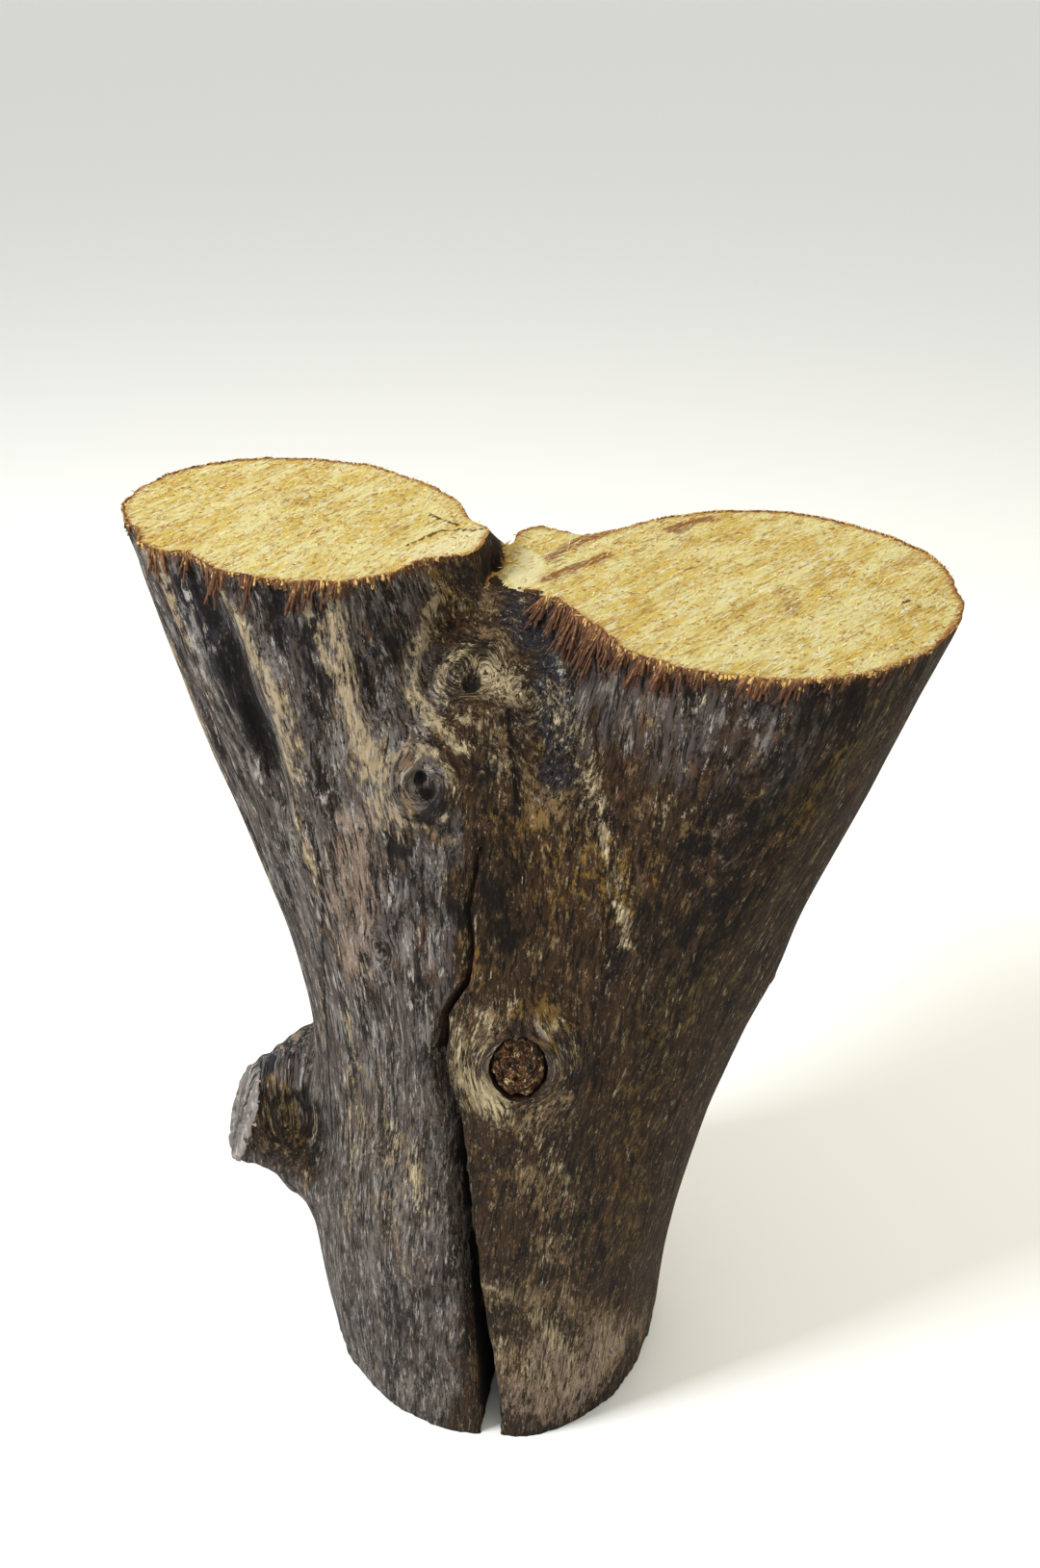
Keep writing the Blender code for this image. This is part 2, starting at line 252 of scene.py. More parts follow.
def nearest_tree(points: Array, numbers: Array) -> kdtree.KDTree:
    """Makes a tree that finds the nearest of some points.

    Args:
        points: All the points.
        numbers: The numbers of those that the tree finds.

    Returns:
        The tree.
    """
    tree = kdtree.KDTree(len(numbers))
    for number in numbers:
        tree.insert(points[number], int(number))
    tree.balance()
    return tree


def kept_inside(points: Array) -> Array:
    """The points, those outside the solid's box moved just inside it, but for its floor."""
    low, high = (np.array(corner) / MM for corner in cad_box)
    return np.clip(points, low + (BOX_MARGIN, BOX_MARGIN, 0), high - BOX_MARGIN)


def store(mesh: bpy.types.Mesh, name: str, values: Array) -> None:
    """Keeps values on the mesh under a name that materials read.

    Args:
        mesh: The mesh.
        name: The values' name.
        values: A number or a vector for each vertex.
    """
    vector = values.ndim == 2
    kept = mesh.attributes.new(name, "FLOAT_VECTOR" if vector else "FLOAT", "POINT")
    kept.data.foreach_set("vector" if vector else "value", values.astype(np.float32).ravel())


def linked(name: str, data: bpy.types.ID) -> bpy.types.Object:
    """Makes an object in the scene.

    Args:
        name: Its name.
        data: Its mesh, light or camera.

    Returns:
        The object.
    """
    made = bpy.data.objects.new(name, data)
    bpy.context.scene.collection.objects.link(made)
    return made


def mesh_object(name: str, points: Array, faces: list) -> bpy.types.Object:
    """Makes an object whose faces point outwards.

    Args:
        name: Its name.
        points: Its vertices in millimetres.
        faces: The vertex numbers of each face.

    Returns:
        The object.
    """
    mesh = bpy.data.meshes.new(name)
    mesh.from_pydata([tuple(point) for point in points * MM], [], faces)
    shape = bmesh.new()
    shape.from_mesh(mesh)
    bmesh.ops.recalc_face_normals(shape, faces=shape.faces)
    shape.to_mesh(mesh)
    shape.free()
    return linked(name, mesh)


def apply_modifiers(obj: bpy.types.Object) -> None:
    """Turns the object's modifiers into its plain mesh.

    Args:
        obj: The object.
    """
    bpy.context.view_layer.update()
    graph = bpy.context.evaluated_depsgraph_get()
    mesh = bpy.data.meshes.new_from_object(obj.evaluated_get(graph))
    obj.modifiers.clear()
    obj.data = mesh


def take_out(obj: bpy.types.Object, cutter: bpy.types.Object) -> None:
    """Cuts one object out of another, and removes the cutter.

    Args:
        obj: The object that is cut.
        cutter: What is cut out of it.
    """
    cut = obj.modifiers.new(cutter.name, "BOOLEAN")
    cut.operation = "DIFFERENCE"
    cut.solver = "MANIFOLD"
    cut.object = cutter
    apply_modifiers(obj)
    bpy.data.objects.remove(cutter)


def add_node(tree: bpy.types.NodeTree, kind: str, inputs: dict | None = None, **settings) -> bpy.types.Node:
    """Adds a node to a tree.

    Args:
        tree: The node tree.
        kind: The node's type.
        inputs: A value or a socket to link, by input name or number.
        settings: The node's own settings.

    Returns:
        The new node.
    """
    node = tree.nodes.new(kind)
    for name, value in settings.items():
        setattr(node, name, value)
    for name, value in (inputs or {}).items():
        if isinstance(value, bpy.types.NodeSocket):
            tree.links.new(value, node.inputs[name])
        else:
            node.inputs[name].default_value = value
    return node


def linear(colour: str) -> tuple[float, float, float, float]:
    """Turns an sRGB colour to linear, by the curve of the sRGB standard.

    Args:
        colour: A hex value such as #8a6d35.

    Returns:
        Linear red, green, blue and alpha.
    """
    shares = [int(colour[place:place + 2], 16) / 255 for place in (1, 3, 5)]
    bent = [share / 12.92 if share <= 0.04045 else ((share + 0.055) / 1.055) ** 2.4 for share in shares]
    return (*bent, 1.0)


# Finishes


class Chart(StrEnum):
    """The coordinates on a mesh, in millimetres, that patterns can follow."""

    GRAIN = auto()
    SAW = auto()
    RADIAL = auto()
    STRAND = auto()


class Mask(StrEnum):
    """What the meshes say of each point, mostly from 0 to 1, for the layers of a finish."""

    PALE = auto()
    OCHRE = auto()
    OLIVE = auto()
    ROSY = auto()
    DARK = auto()
    SLATE = auto()
    TAN = auto()
    COOL = auto()
    FRAY = auto()
    CHECK = auto()
    HOLLOW = auto()
    RIDGE = auto()
    STAIN = auto()
    TONGUE = auto()
    RIM = auto()
    SPLIT = auto()
    DEEP = auto()
    SHADE = auto()
    ALONG = auto()
    FRESH = auto()


@dataclass(frozen=True)
class Pattern:
    """Noise stretched along the grain, with its cell sizes across and along in millimetres.

    fades holds the noise values, from 0 to 1, where the pattern starts and where it is full. detail,
    roughness and warp are the noise's own settings, and place moves it to another stretch of the noise.
    """

    across: float
    along: float
    fades: tuple[float, float]
    detail: float = 4.0
    roughness: float = 0.6
    warp: float = 0.0
    place: float = 0.0

    def noise(self, tree: bpy.types.NodeTree, where: bpy.types.NodeSocket) -> bpy.types.NodeSocket:
        """Adds the noise itself.

        Args:
            tree: The material's tree.
            where: The coordinates in millimetres.

        Returns:
            The noise's value.
        """
        scale = (1 / self.across, 1 / self.across, 1 / self.along)
        mapping = add_node(
            tree, "ShaderNodeMapping",
            {"Vector": where, "Scale": scale, "Location": (self.place, self.place, self.place)},
        )
        texture = add_node(
            tree, "ShaderNodeTexNoise",
            {
                "Vector": mapping.outputs[0],
                "Scale": 1.0,
                "Detail": self.detail,
                "Roughness": self.roughness,
                "Distortion": self.warp,
            },
        )
        return texture.outputs[0]


@dataclass(frozen=True)
class Layer:
    """A colour over those before it, where its pattern shows it.

    Where it has a mask, the mask's value on the mesh times lift is added to the noise.
    """

    colour: str
    strength: float
    pattern: Pattern
    mask: Mask | None = None
    lift: float = 0.0


@dataclass(frozen=True)
class Finish:
    """A surface of wood: its colours from the lowest layer up, its grain as bumps, and its gloss.

    bumps pairs each pattern with how high it stands in millimetres.
    """

    name: str
    chart: Chart
    base: str
    layers: tuple[Layer, ...]
    bumps: tuple[tuple[Pattern, float], ...]
    roughness: float
    specular: float = 0.35

    def made(self) -> bpy.types.Material:
        """Builds the material.

        Returns:
            A material with its colour, bump and roughness.
        """
        material = bpy.data.materials.new(self.name)
        material.use_nodes = True
        tree = material.node_tree
        shader = tree.nodes["Principled BSDF"]
        shader.inputs["Roughness"].default_value = self.roughness
        shader.inputs["Specular IOR Level"].default_value = self.specular
        where = add_node(tree, "ShaderNodeAttribute", attribute_name=self.chart).outputs["Vector"]
        colour = linear(self.base)
        for layer in self.layers:
            colour = self.laid(tree, where, layer, colour)
        tree.links.new(colour, shader.inputs["Base Color"])
        bump = add_node(tree, "ShaderNodeBump", {"Height": self.height(tree, where), "Distance": MM})
        tree.links.new(bump.outputs[0], shader.inputs["Normal"])
        return material

    def laid(
        self,
        tree: bpy.types.NodeTree,
        where: bpy.types.NodeSocket,
        layer: Layer,
        below: bpy.types.NodeSocket | tuple,
    ) -> bpy.types.NodeSocket:
        """Lays one colour over the ones below it.

        Args:
            tree: The material's tree.
            where: The coordinates in millimetres.
            layer: The colour and where it shows.
            below: The colour so far.

        Returns:
            The new colour.
        """
        value = layer.pattern.noise(tree, where)
        if layer.mask:
            mask = add_node(tree, "ShaderNodeAttribute", attribute_name=layer.mask).outputs["Fac"]
            value = add_node(
                tree, "ShaderNodeMath", {0: mask, 1: layer.lift, 2: value}, operation="MULTIPLY_ADD"
            ).outputs[0]
        start, full = layer.pattern.fades
        share = add_node(
            tree, "ShaderNodeMapRange",
            {"Value": value, "From Min": start, "From Max": full, "To Max": layer.strength},
            interpolation_type="SMOOTHSTEP",
        ).outputs[0]
        mixed = add_node(
            tree, "ShaderNodeMix",
            {0: share, MIX_BELOW: below, MIX_ABOVE: linear(layer.colour)},
            data_type="RGBA",
        )
        return mixed.outputs[MIX_RESULT]

    def height(self, tree: bpy.types.NodeTree, where: bpy.types.NodeSocket) -> bpy.types.NodeSocket:
        """Adds up the bumps.

        Args:
            tree: The material's tree.
            where: The coordinates in millimetres.

        Returns:
            The height in millimetres.
        """
        height = None
        for pattern, amount in self.bumps:
            start, full = pattern.fades
            raised = add_node(
                tree, "ShaderNodeMapRange",
                {"Value": pattern.noise(tree, where), "From Min": start, "From Max": full, "To Max": amount},
                clamp=False,
            ).outputs[0]
            if height is not None:
                raised = add_node(tree, "ShaderNodeMath", {0: height, 1: raised}).outputs[0]
            height = raised
        return height


# Weathered wood without bark, split and worn by years in the open. It is grey on the left and brown on
# the right, broken into short streaks along the grain, worn pale on the ridges and round the knots, with
# ochre and olive stains and dark damp-looking streaks. Shade is painted into it as colour: near black in
# the hollows, the pits and the crotch, under the stub and down the shadowed side of the right limb, and
# darker along the grooves of its bumps, where dark fibres lie too. Dry and dull, so it has little gloss.
# Its fibres are about 0.3 mm wide, too fine to show, and are drawn 1.3 to 3 mm wide.
WEATHERED_WOOD = Finish(
    name="weathered_wood",
    chart=Chart.GRAIN,
    base="#3d2a18",
    layers=(
        Layer("#5d5552", 0.95, Pattern(9, 40, (0.64, 0.84), 8, 0.72), Mask.COOL, 0.36),
        Layer("#8d8680", 0.75, Pattern(13, 60, (0.72, 0.79), 9, 0.78, place=11.4), Mask.COOL, 0.19),
        Layer("#7f6f64", 0.7, Pattern(15, 52, (0.75, 0.81), 9, 0.8, place=12.7), Mask.COOL, 0.19),
        Layer("#917654", 0.85, Pattern(4.5, 16, (0.64, 0.73), 9, 0.8, place=8.6), Mask.TAN, 0.19),
        Layer("#180e08", 0.92, Pattern(10, 38, (0.50, 0.58), 9, 0.76, place=3.7)),
        Layer("#6a4a2c", 0.7, Pattern(6, 22, (0.54, 0.64), 9, 0.76, place=5.9)),
        Layer("#2a2a31", 0.9, Pattern(5, 30, (0.66, 0.82), 7, 0.68, place=9.1), Mask.SLATE, 0.42),
        Layer("#a58c7a", 0.85, Pattern(3.2, 14, (0.62, 0.71), 9, 0.8, place=2.9), Mask.ROSY, 0.19),
        Layer("#94702f", 0.8, Pattern(3.2, 7, (0.63, 0.75), 9, 0.76), Mask.OCHRE, 0.18),
        Layer("#675b2f", 0.75, Pattern(4, 9, (0.63, 0.76), 8, 0.74, place=7.7), Mask.OLIVE, 0.18),
        Layer("#9b948e", 0.75, Pattern(5, 26, (0.63, 0.70), 9, 0.8, place=4.9), Mask.COOL, 0.11),
        Layer("#95784e", 0.78, Pattern(4.2, 14, (0.55, 0.62), 9, 0.8, place=0.4), Mask.COOL, -0.05),
        Layer("#c9c1b8", 0.9, Pattern(2.6, 17, (0.65, 0.71), 8, 0.78, place=1.3), Mask.COOL, 0.10),
        Layer("#cbb792", 0.8, Pattern(1.7, 6, (0.65, 0.75), 8, 0.76, place=8.2), Mask.TAN, 0.13),
        Layer("#c3a577", 0.82, Pattern(2.6, 11, (0.585, 0.65), 8, 0.8, place=6.6), Mask.COOL, -0.05),
        Layer("#b19d78", 0.85, Pattern(3.4, 16, (0.62, 0.71), 8, 0.8, place=4.1), Mask.PALE, 0.16),
        Layer("#e6d2a6", 0.92, Pattern(1.9, 13, (0.60, 0.68), 8, 0.78, place=4.4), Mask.PALE, 0.10),
        Layer("#c8b899", 0.8, Pattern(4.2, 20, (0.60, 0.645), 8, 0.8, place=14.6)),
        Layer("#62503c", 0.7, Pattern(1.5, 26, (0.55, 0.61), 8, 0.76, place=13.1)),
        # Painted shade, with some dark stain: near black along the strokes of shade and dark stain.
        Layer("#0d0805", 0.88, Pattern(5, 16, (0.66, 0.80), 8, 0.72, place=0.9), Mask.DARK, 0.25),
        # Partly painted shade: near black dark fibres in the grooves of the first bump, from the same noise.
        Layer("#0c0704", 0.92, Pattern(1.3, 18, (0.515, 0.59), 7, 0.74, place=6.1)),
        # Partly painted shade: near black where the third bump sinks, from the same noise.
        Layer("#0b0704", 0.85, Pattern(2.6, 6.0, (0.57, 0.65), 8, 0.74, place=2.7)),
        Layer("#8c5a2d", 0.9, Pattern(1.3, 6, (0.62, 0.80), 6, 0.7, place=3.3), Mask.FRAY, 0.42),
        Layer("#080503", 0.95, Pattern(0.8, 30, (0.72, 0.80), 3, place=8.3), Mask.CHECK, 0.5),
        # Painted shade: near black in the relief's hollows.
        Layer("#0c0704", 0.92, Pattern(1.6, 20, (0.62, 0.92), 7, 0.7, place=0.7), Mask.HOLLOW, 0.6),
        Layer("#d2ba94", 0.75, Pattern(1.6, 9, (0.62, 0.76), 8, 0.74, place=2.2), Mask.RIDGE, 0.2),
    ),
    bumps=(
        (Pattern(1.3, 18, (0.3, 0.7), 7, 0.74, place=6.1), -1.8),
        (Pattern(2.6, 26, (0.3, 0.7), 5, place=4.1), 1.4),
        (Pattern(2.6, 6.0, (0.3, 0.7), 8, 0.74, place=2.7), -1.8),
    ),
    roughness=0.72,
    specular=0.14,
)

# Fresh end grain left by a chainsaw: golden, rough with torn fibres that lie along the sweep of the
# chain, and browner towards the rim, where the old surface has stained it. Light and shade are painted
# into it: near white highlights along the saw's marks, darker gold shadow in their grooves and brown
# shadow in the pits of the torn fibres. The torn fibres are finer than a millimetre, too fine to show, and
# are drawn 1.3 to 2 mm wide.
SAWN_WOOD = Finish(
    name="sawn_wood",
    chart=Chart.SAW,
    base="#eacb66",
    layers=(
        Layer("#fbeea4", 0.9, Pattern(11, 40, (0.42, 0.56), 7, 0.68)),
        Layer("#cda048", 0.6, Pattern(17, 44, (0.54, 0.66), 7, 0.7, place=9.3)),
        # Painted shadow: darker gold in the grooves of the saw's marks, from the same noise as the first
        # bump.
        Layer("#b2843a", 0.82, Pattern(2.1, 19, (0.54, 0.62), 7, 0.72, warp=0.5, place=3.1)),
        # Painted highlight: near white streaks along the saw's marks.
        Layer("#fffbd6", 0.9, Pattern(1.5, 10, (0.53, 0.60), 7, 0.74, warp=0.4, place=1.7)),
        # Painted shadow: brown specks in the pits of the torn fibres, from the same noise as the second bump.
        Layer("#74491c", 0.92, Pattern(1.3, 4.2, (0.585, 0.64), 8, 0.76, warp=0.4, place=6.3)),
        Layer("#8f4f27", 0.88, Pattern(1.8, 11, (0.62, 0.76), 8, 0.8, place=5.2), Mask.STAIN, 0.27),
        Layer("#fff2b8", 0.92, Pattern(3, 12, (0.74, 0.92), 5, place=8.4), Mask.TONGUE, 0.6),
        Layer("#b8742a", 0.9, Pattern(1.3, 5, (0.70, 0.92), 7, 0.72, place=2.4), Mask.RIM, 0.52),
        Layer("#6a3a18", 0.9, Pattern(1.2, 4, (0.94, 1.12), 7, 0.72, place=7.4), Mask.RIM, 0.62),
        Layer("#4a3018", 0.9, Pattern(1.4, 5, (0.74, 0.88), place=7.9), Mask.SPLIT, 0.62),
    ),
    bumps=(
        (Pattern(2.1, 19, (0.3, 0.7), 7, 0.72, warp=0.5, place=3.1), -1.5),
        (Pattern(1.3, 4.2, (0.3, 0.7), 8, 0.76, warp=0.4, place=6.3), -1.8),
    ),
    roughness=0.85,
    specular=0.2,
)

# The old sawn foot: the same end grain, but dirty and grey-brown from standing on the ground.
OLD_SAWN_WOOD = Finish(
    name="old_sawn_wood",
    chart=Chart.SAW,
    base="#9a7c50",
    layers=(
        Layer("#b89a68", 0.8, Pattern(14, 30, (0.42, 0.62), 5)),
        Layer("#5c4630", 0.7, Pattern(2.0, 30, (0.50, 0.66), 6, place=3.1)),
        Layer("#3a2a1d", 0.85, Pattern(1.8, 8, (0.78, 1.05), 6, place=2.4), Mask.RIM, 0.5),
    ),
    bumps=((Pattern(2.0, 30, (0.3, 0.7), 6, place=3.1), 0.7),),
    roughness=0.85,
    specular=0.2,
)

# The end of the stub: end grain of a branch broken off long ago, gone grey in the open and split from its
# pith outwards, so it looks pale and rough with dark lines.
WEATHERED_END = Finish(
    name="weathered_end_grain",
    chart=Chart.RADIAL,
    base="#6f6862",
    layers=(
        Layer("#aaa39c", 0.85, Pattern(3, 9, (0.50, 0.60), 8, 0.76)),
        Layer("#3f352e", 0.85, Pattern(2.0, 12, (0.53, 0.62), 7, 0.7, place=3.3)),
        Layer("#7d5a35", 0.7, Pattern(3, 6, (0.60, 0.72), 7, place=5.3)),
        Layer("#120c09", 0.95, Pattern(1.3, 50, (0.62, 0.67), 4, place=8.8)),
    ),
    bumps=(
        (Pattern(1.3, 50, (0.3, 0.7), 4, place=8.8), -1.4),
        (Pattern(1.6, 4, (0.3, 0.7), 7, 0.7), 0.8),
    ),
    roughness=0.8,
    specular=0.25,
)

# The dead branch end in the trunk: rotten heartwood, broken across, dark with rings and golden flecks, the
# flecks partly painted highlights on its broken crumbs.
# Its crumbs are under 1 mm wide, too fine to show, and are drawn 2 to 3 mm wide.
DEAD_WOOD = Finish(
    name="dead_branch_wood",
    chart=Chart.RADIAL,
    base="#40271a",
    layers=(
        Layer("#86592f", 0.9, Pattern(2.4, 3.6, (0.49, 0.57), 7, 0.74)),
        # Golden flecks, partly painted highlights on the broken crumbs.
        Layer("#ecca90", 0.95, Pattern(2.2, 3.0, (0.56, 0.60), 7, 0.74, place=4.3)),
        Layer("#1d110a", 0.85, Pattern(14, 1.1, (0.52, 0.60), 5, place=3.3)),
        Layer("#0b0604", 0.97, Pattern(3.2, 4.0, (0.54, 0.58), 7, 0.72, place=7.3)),
        Layer("#0d0806", 0.95, Pattern(2.5, 1.2, (0.84, 0.98), place=1.3), Mask.RIM, 0.5),
    ),
    bumps=(
        (Pattern(2.1, 2.8, (0.3, 0.7), 7, 0.72, place=7.3), -2.0),
        (Pattern(14, 1.1, (0.3, 0.7), 5, place=3.3), -0.7),
    ),
    roughness=0.7,
    specular=0.2,
)

# The walls of the long crack and of the gap round the dead branch: wood that dried and tore open, never
# weathered, brown at the mouth, with shade painted black deeper in the crack.
CRACK_WALL = Finish(
    name="crack_wall",
    chart=Chart.GRAIN,
    base="#2c1c12",
    layers=(
        Layer("#553a24", 0.8, Pattern(1.6, 22, (0.52, 0.64), 6)),
        # Painted shade: black deeper in the crack.
        Layer("#080504", 0.98, Pattern(2.2, 30, (0.52, 0.95), place=3.9), Mask.DEEP, 0.95),
    ),
    bumps=((Pattern(1.6, 22, (0.3, 0.7), 6), 0.8),),
    roughness=0.85,
    specular=0.15,
)

# Torn fibres on the rims, left by the chain: golden where they leave the fresh cut, red-brown from the
# old surface, and darker towards their tips, for their brown and as painted shadow. Their streaks are drawn
# wider than the fibres of the wood, to show.
TORN_FIBRES = Finish(
    name="torn_fibres",
    chart=Chart.STRAND,
    base="#7c4e2b",
    layers=(
        Layer("#b5854a", 0.85, Pattern(1.4, 7, (0.50, 0.61), 5)),
        Layer("#4f2d17", 0.9, Pattern(1.8, 9, (0.70, 0.90), 5, place=2.6), Mask.SHADE, 0.5),
        # Darker towards the tips: brown wood and painted shadow.
        Layer("#4c2d1a", 0.85, Pattern(1.5, 8, (0.60, 0.95), 5, place=7.1), Mask.ALONG, 0.5),
        Layer("#e2bb6c", 0.9, Pattern(1.5, 8, (0.80, 1.0), place=5.6), Mask.FRESH, 0.75),
    ),
    bumps=((Pattern(0.5, 8, (0.3, 0.7), 4), 0.4),),
    roughness=0.75,
)

# Torn fibres that stand on the fresh cut: clean and pale gold, so the cut looks furred.
CUT_FIBRES = Finish(
    name="cut_fibres",
    chart=Chart.STRAND,
    base="#dfb85e",
    layers=(
        Layer("#f8eab0", 0.9, Pattern(3, 12, (0.46, 0.60), 3)),
        Layer("#a8712e", 0.85, Pattern(2.4, 14, (0.70, 0.94), 4, place=2.6), Mask.SHADE, 0.46),
    ),
    bumps=((Pattern(0.6, 9, (0.3, 0.7), 3), 0.2),),
    roughness=0.8,
)


# Where things are on the log


@dataclass(frozen=True)
class Stem:
    """The pith of one stem, as (x, y, height) at its stations."""

    stations: Path

    def pith(self, heights: Array) -> Array:
        """The pith's x and y at each height."""
        x, y, height = np.array(self.stations).T
        return np.stack([np.interp(heights, height, x), np.interp(heights, height, y)], axis=1)


@dataclass(frozen=True)
class Knot:
    """A knot that the grain flows round: its place, its radius, how far it bends the grain, and its rings."""

    place: Point
    radius: float
    reach: float
    rise: float = 0.0


@dataclass(frozen=True)
class Groove:
    """A long hollow or, if its depth is less than none, a ridge along a path."""

    path: Path
    width: float
    depth: float


@dataclass(frozen=True)
class Stroke:
    """A path along which a tone shows, how wide it reaches, and its strength."""

    tone: Mask
    path: Path
    width: float
    strength: float = 1.0

    def shown(self, points: Array, spread: float = 1.0) -> Array:
        """How much of the tone each point takes, with the width times spread."""
        return self.strength * bell(path_distance(points, self.path), self.width * spread)


@dataclass(frozen=True)
class SawFace:
    """A sawn face: a point on it, the way it faces, and the angle of the saw's sweep from +X in degrees."""

    place: Point
    facing: Point
    sweep: float

    @property
    def normal(self) -> Array:
        """The way it faces, at length 1."""
        return unit(np.array(self.facing))

    def height(self, points: Array) -> Array:
        """How far each point lies in front of the face."""
        return (points - np.array(self.place)) @ self.normal

    def coordinates(self, points: Array) -> Array:
        """Coordinates in which the saw's marks are straight.

        Args:
            points: Points in millimetres.

        Returns:
            Each point across the sweep, up, and along the sweep, in millimetres.
        """
        turn = math.radians(self.sweep)
        along = points[:, 0] * math.cos(turn) + points[:, 1] * math.sin(turn)
        across = points[:, 1] * math.cos(turn) - points[:, 0] * math.sin(turn)
        return np.stack([across, points[:, 2], along], axis=1)


LEFT_STEM = Stem(
    (
        (-8, 5, -60), (-8, 6, 0), (-12, 8, 70), (-14, 11, 150), (-16, 14, 240),
        (-30, 18, 310), (-56, 24, 375), (-88, 31, 450), (-117, 37, 520), (-147, 43, 590),
    )
)
RIGHT_STEM = Stem(
    (
        (1, 8, -60), (3, 9, 0), (6, 10, 75), (14, 13, 150), (26, 20, 215),
        (45, 31, 290), (69, 43, 370), (94, 54, 440), (115, 61, 500), (142, 68, 580),
    )
)

# Where the limbs part, which way the right one lies from there, and how far the left top leans.
CROTCH = (-11, 52)
CROTCH_HEADING = math.radians(21)
LEAN = math.radians(3)
LEFT_FACE = SawFace(
    (-11, 52, 514),
    (math.sin(LEAN) * math.cos(CROTCH_HEADING), math.sin(LEAN) * math.sin(CROTCH_HEADING), math.cos(LEAN)),
    77,
)
RIGHT_FACE = SawFace((-11, 52, 500), (0, 0, 1), 63)
STUB_FACE = SawFace((-147, -45, 168), (-0.80, -0.50, 0.33), 0)

# How far the stub's end reaches from its middle.
STUB_END_REACH = 44

# The whorl's, the eye-shaped, a small, the dead one and others in front, the stub, then the back's.
KNOTS = (
    Knot((-7, -16, 471), 14, 32, 2.6),
    Knot((19, -16, 465), 8, 24, 2.2),
    Knot((-20, -45, 425), 11, 34, 2.6),
    Knot((-37, -69, 342), 6, 22, 1.2),
    Knot((36, -77, 289), 19, 52, 2.0),
    Knot((98, -57, 307), 4, 14, 0.5),
    Knot((148, 8, 302), 8, 30, 0.0),
    Knot((-118, -30, 182), 30, 62, 0.0),
    Knot((70, 124, 262), 9, 34, 1.5),
    Knot((-62, 107, 345), 8, 30, 1.5),
    Knot((135, 135, 400), 7, 28, 1.2),
    Knot((-20, 113, 150), 7, 26, 1.2),
    Knot((151, 60, 330), 9, 32, 1.5),
    Knot((-107, 60, 300), 8, 30, 1.5),
)

# Hollows and folds of the left limb, the arcs of the whorl, the knots' pits, then those of the back.
GROOVES = (
    Groove(
        ((-150, -32, 530), (-131, -40, 509), (-118, -43, 480), (-105, -46, 440), (-96, -50, 404)), 5.5, 2.2
    ),
    Groove(((-121, -41, 473), (-110, -43, 451), (-99, -46, 415)), 3, 1.6),
    Groove(((-122, -42, 518), (-104, -45, 488), (-88, -51, 448), (-86, -50, 420), (-78, -58, 380)), 5, -1.8),
    Groove(((-158, -24, 500), (-148, -22, 440), (-122, -38, 380), (-98, -52, 340)), 4, -1.6),
    Groove(((-156, -28, 500), (-131, -38, 442), (-112, -42, 387), (-94, -51, 349)), 3.5, 1.4),
    Groove(((-90, -42, 514), (-76, -46, 476), (-71, -47, 456), (-68, -50, 430)), 4, 1.3),
    Groove(((-82, -39, 518), (-73, -40, 498), (-67, -42, 478)), 4, -1.0),
    Groove(((-64, -34, 512), (-54, -46, 462), (-43, -51, 431), (-37, -54, 405)), 5, -1.4),
    Groove(((-57, -29, 518), (-50, -37, 485), (-44, -41, 460)), 4, 1.8),
    Groove(((-41, -46, 446), (-30, -54, 410), (-20, -65, 375)), 4, -0.8),
    Groove(((-40, -62, 350), (-30, -60, 372), (-22, -56, 395)), 5, 1.4),
    Groove(((-28, 2, 500), (-33, -20, 478), (-26, -32, 462), (-10, -37, 450)), 4, -2.0),
    Groove(((-22, -44, 443), (-10, -45, 441), (-5, -48, 428), (-8, -54, 414)), 3, -1.2),
    Groove(((-8, -14, 474), (-6, -17, 467)), 4, 4.6),
    Groove(((-22, -44, 430), (-17, -48, 420)), 3.6, 2.4),
    Groove(((-38, -69, 343), (-35, -70, 339)), 3, 2.2),
    Groove(((95, -56, 311), (100, -52, 303)), 2.2, 2.2),
    Groove(((70, 124, 264), (70, 124, 260)), 4, 2.6),
    Groove(((-62, 107, 347), (-62, 107, 343)), 3.6, 2.4),
    Groove(((151, 60, 333), (151, 60, 327)), 4, 2.6),
    Groove(((-107, 60, 303), (-107, 60, 297)), 3.6, 2.4),
    Groove(((-128, 113, 500), (-106, 111, 430), (-88, 106, 380), (-72, 94, 290)), 6, 1.6),
    Groove(((40, 135, 470), (34, 136, 380), (40, 137, 330), (36, 125, 230)), 7, 1.4),
    Groove(((-181, 30, 500), (-162, 40, 420), (-124, 56, 340)), 6, 1.4),
)

# Hairline drying checks in the skin.
CHECKS = (
    (
        (-73, -56, 386), (-70, -61, 361), (-72, -61, 343), (-74, -59, 310),
        (-76, -59, 277), (-78, -57, 233), (-78, -61, 193),
    ),
    ((15, -26, 460), (19, -33, 446), (23, -40, 430), (27, -45, 415)),
    ((17, -47, 420), (12, -50, 410), (11, -54, 400)),
    ((30, 107, 50), (34, 112, 120), (28, 120, 190), (36, 129, 262)),
    ((-96, 108, 400), (-82, 101, 345), (-72, 94, 290), (-70, 89, 240)),
    ((98, 30, 60), (106, 36, 130), (119, 40, 200)),
    ((-95, 66, 60), (-101, 60, 140), (-95, 62, 210)),
)
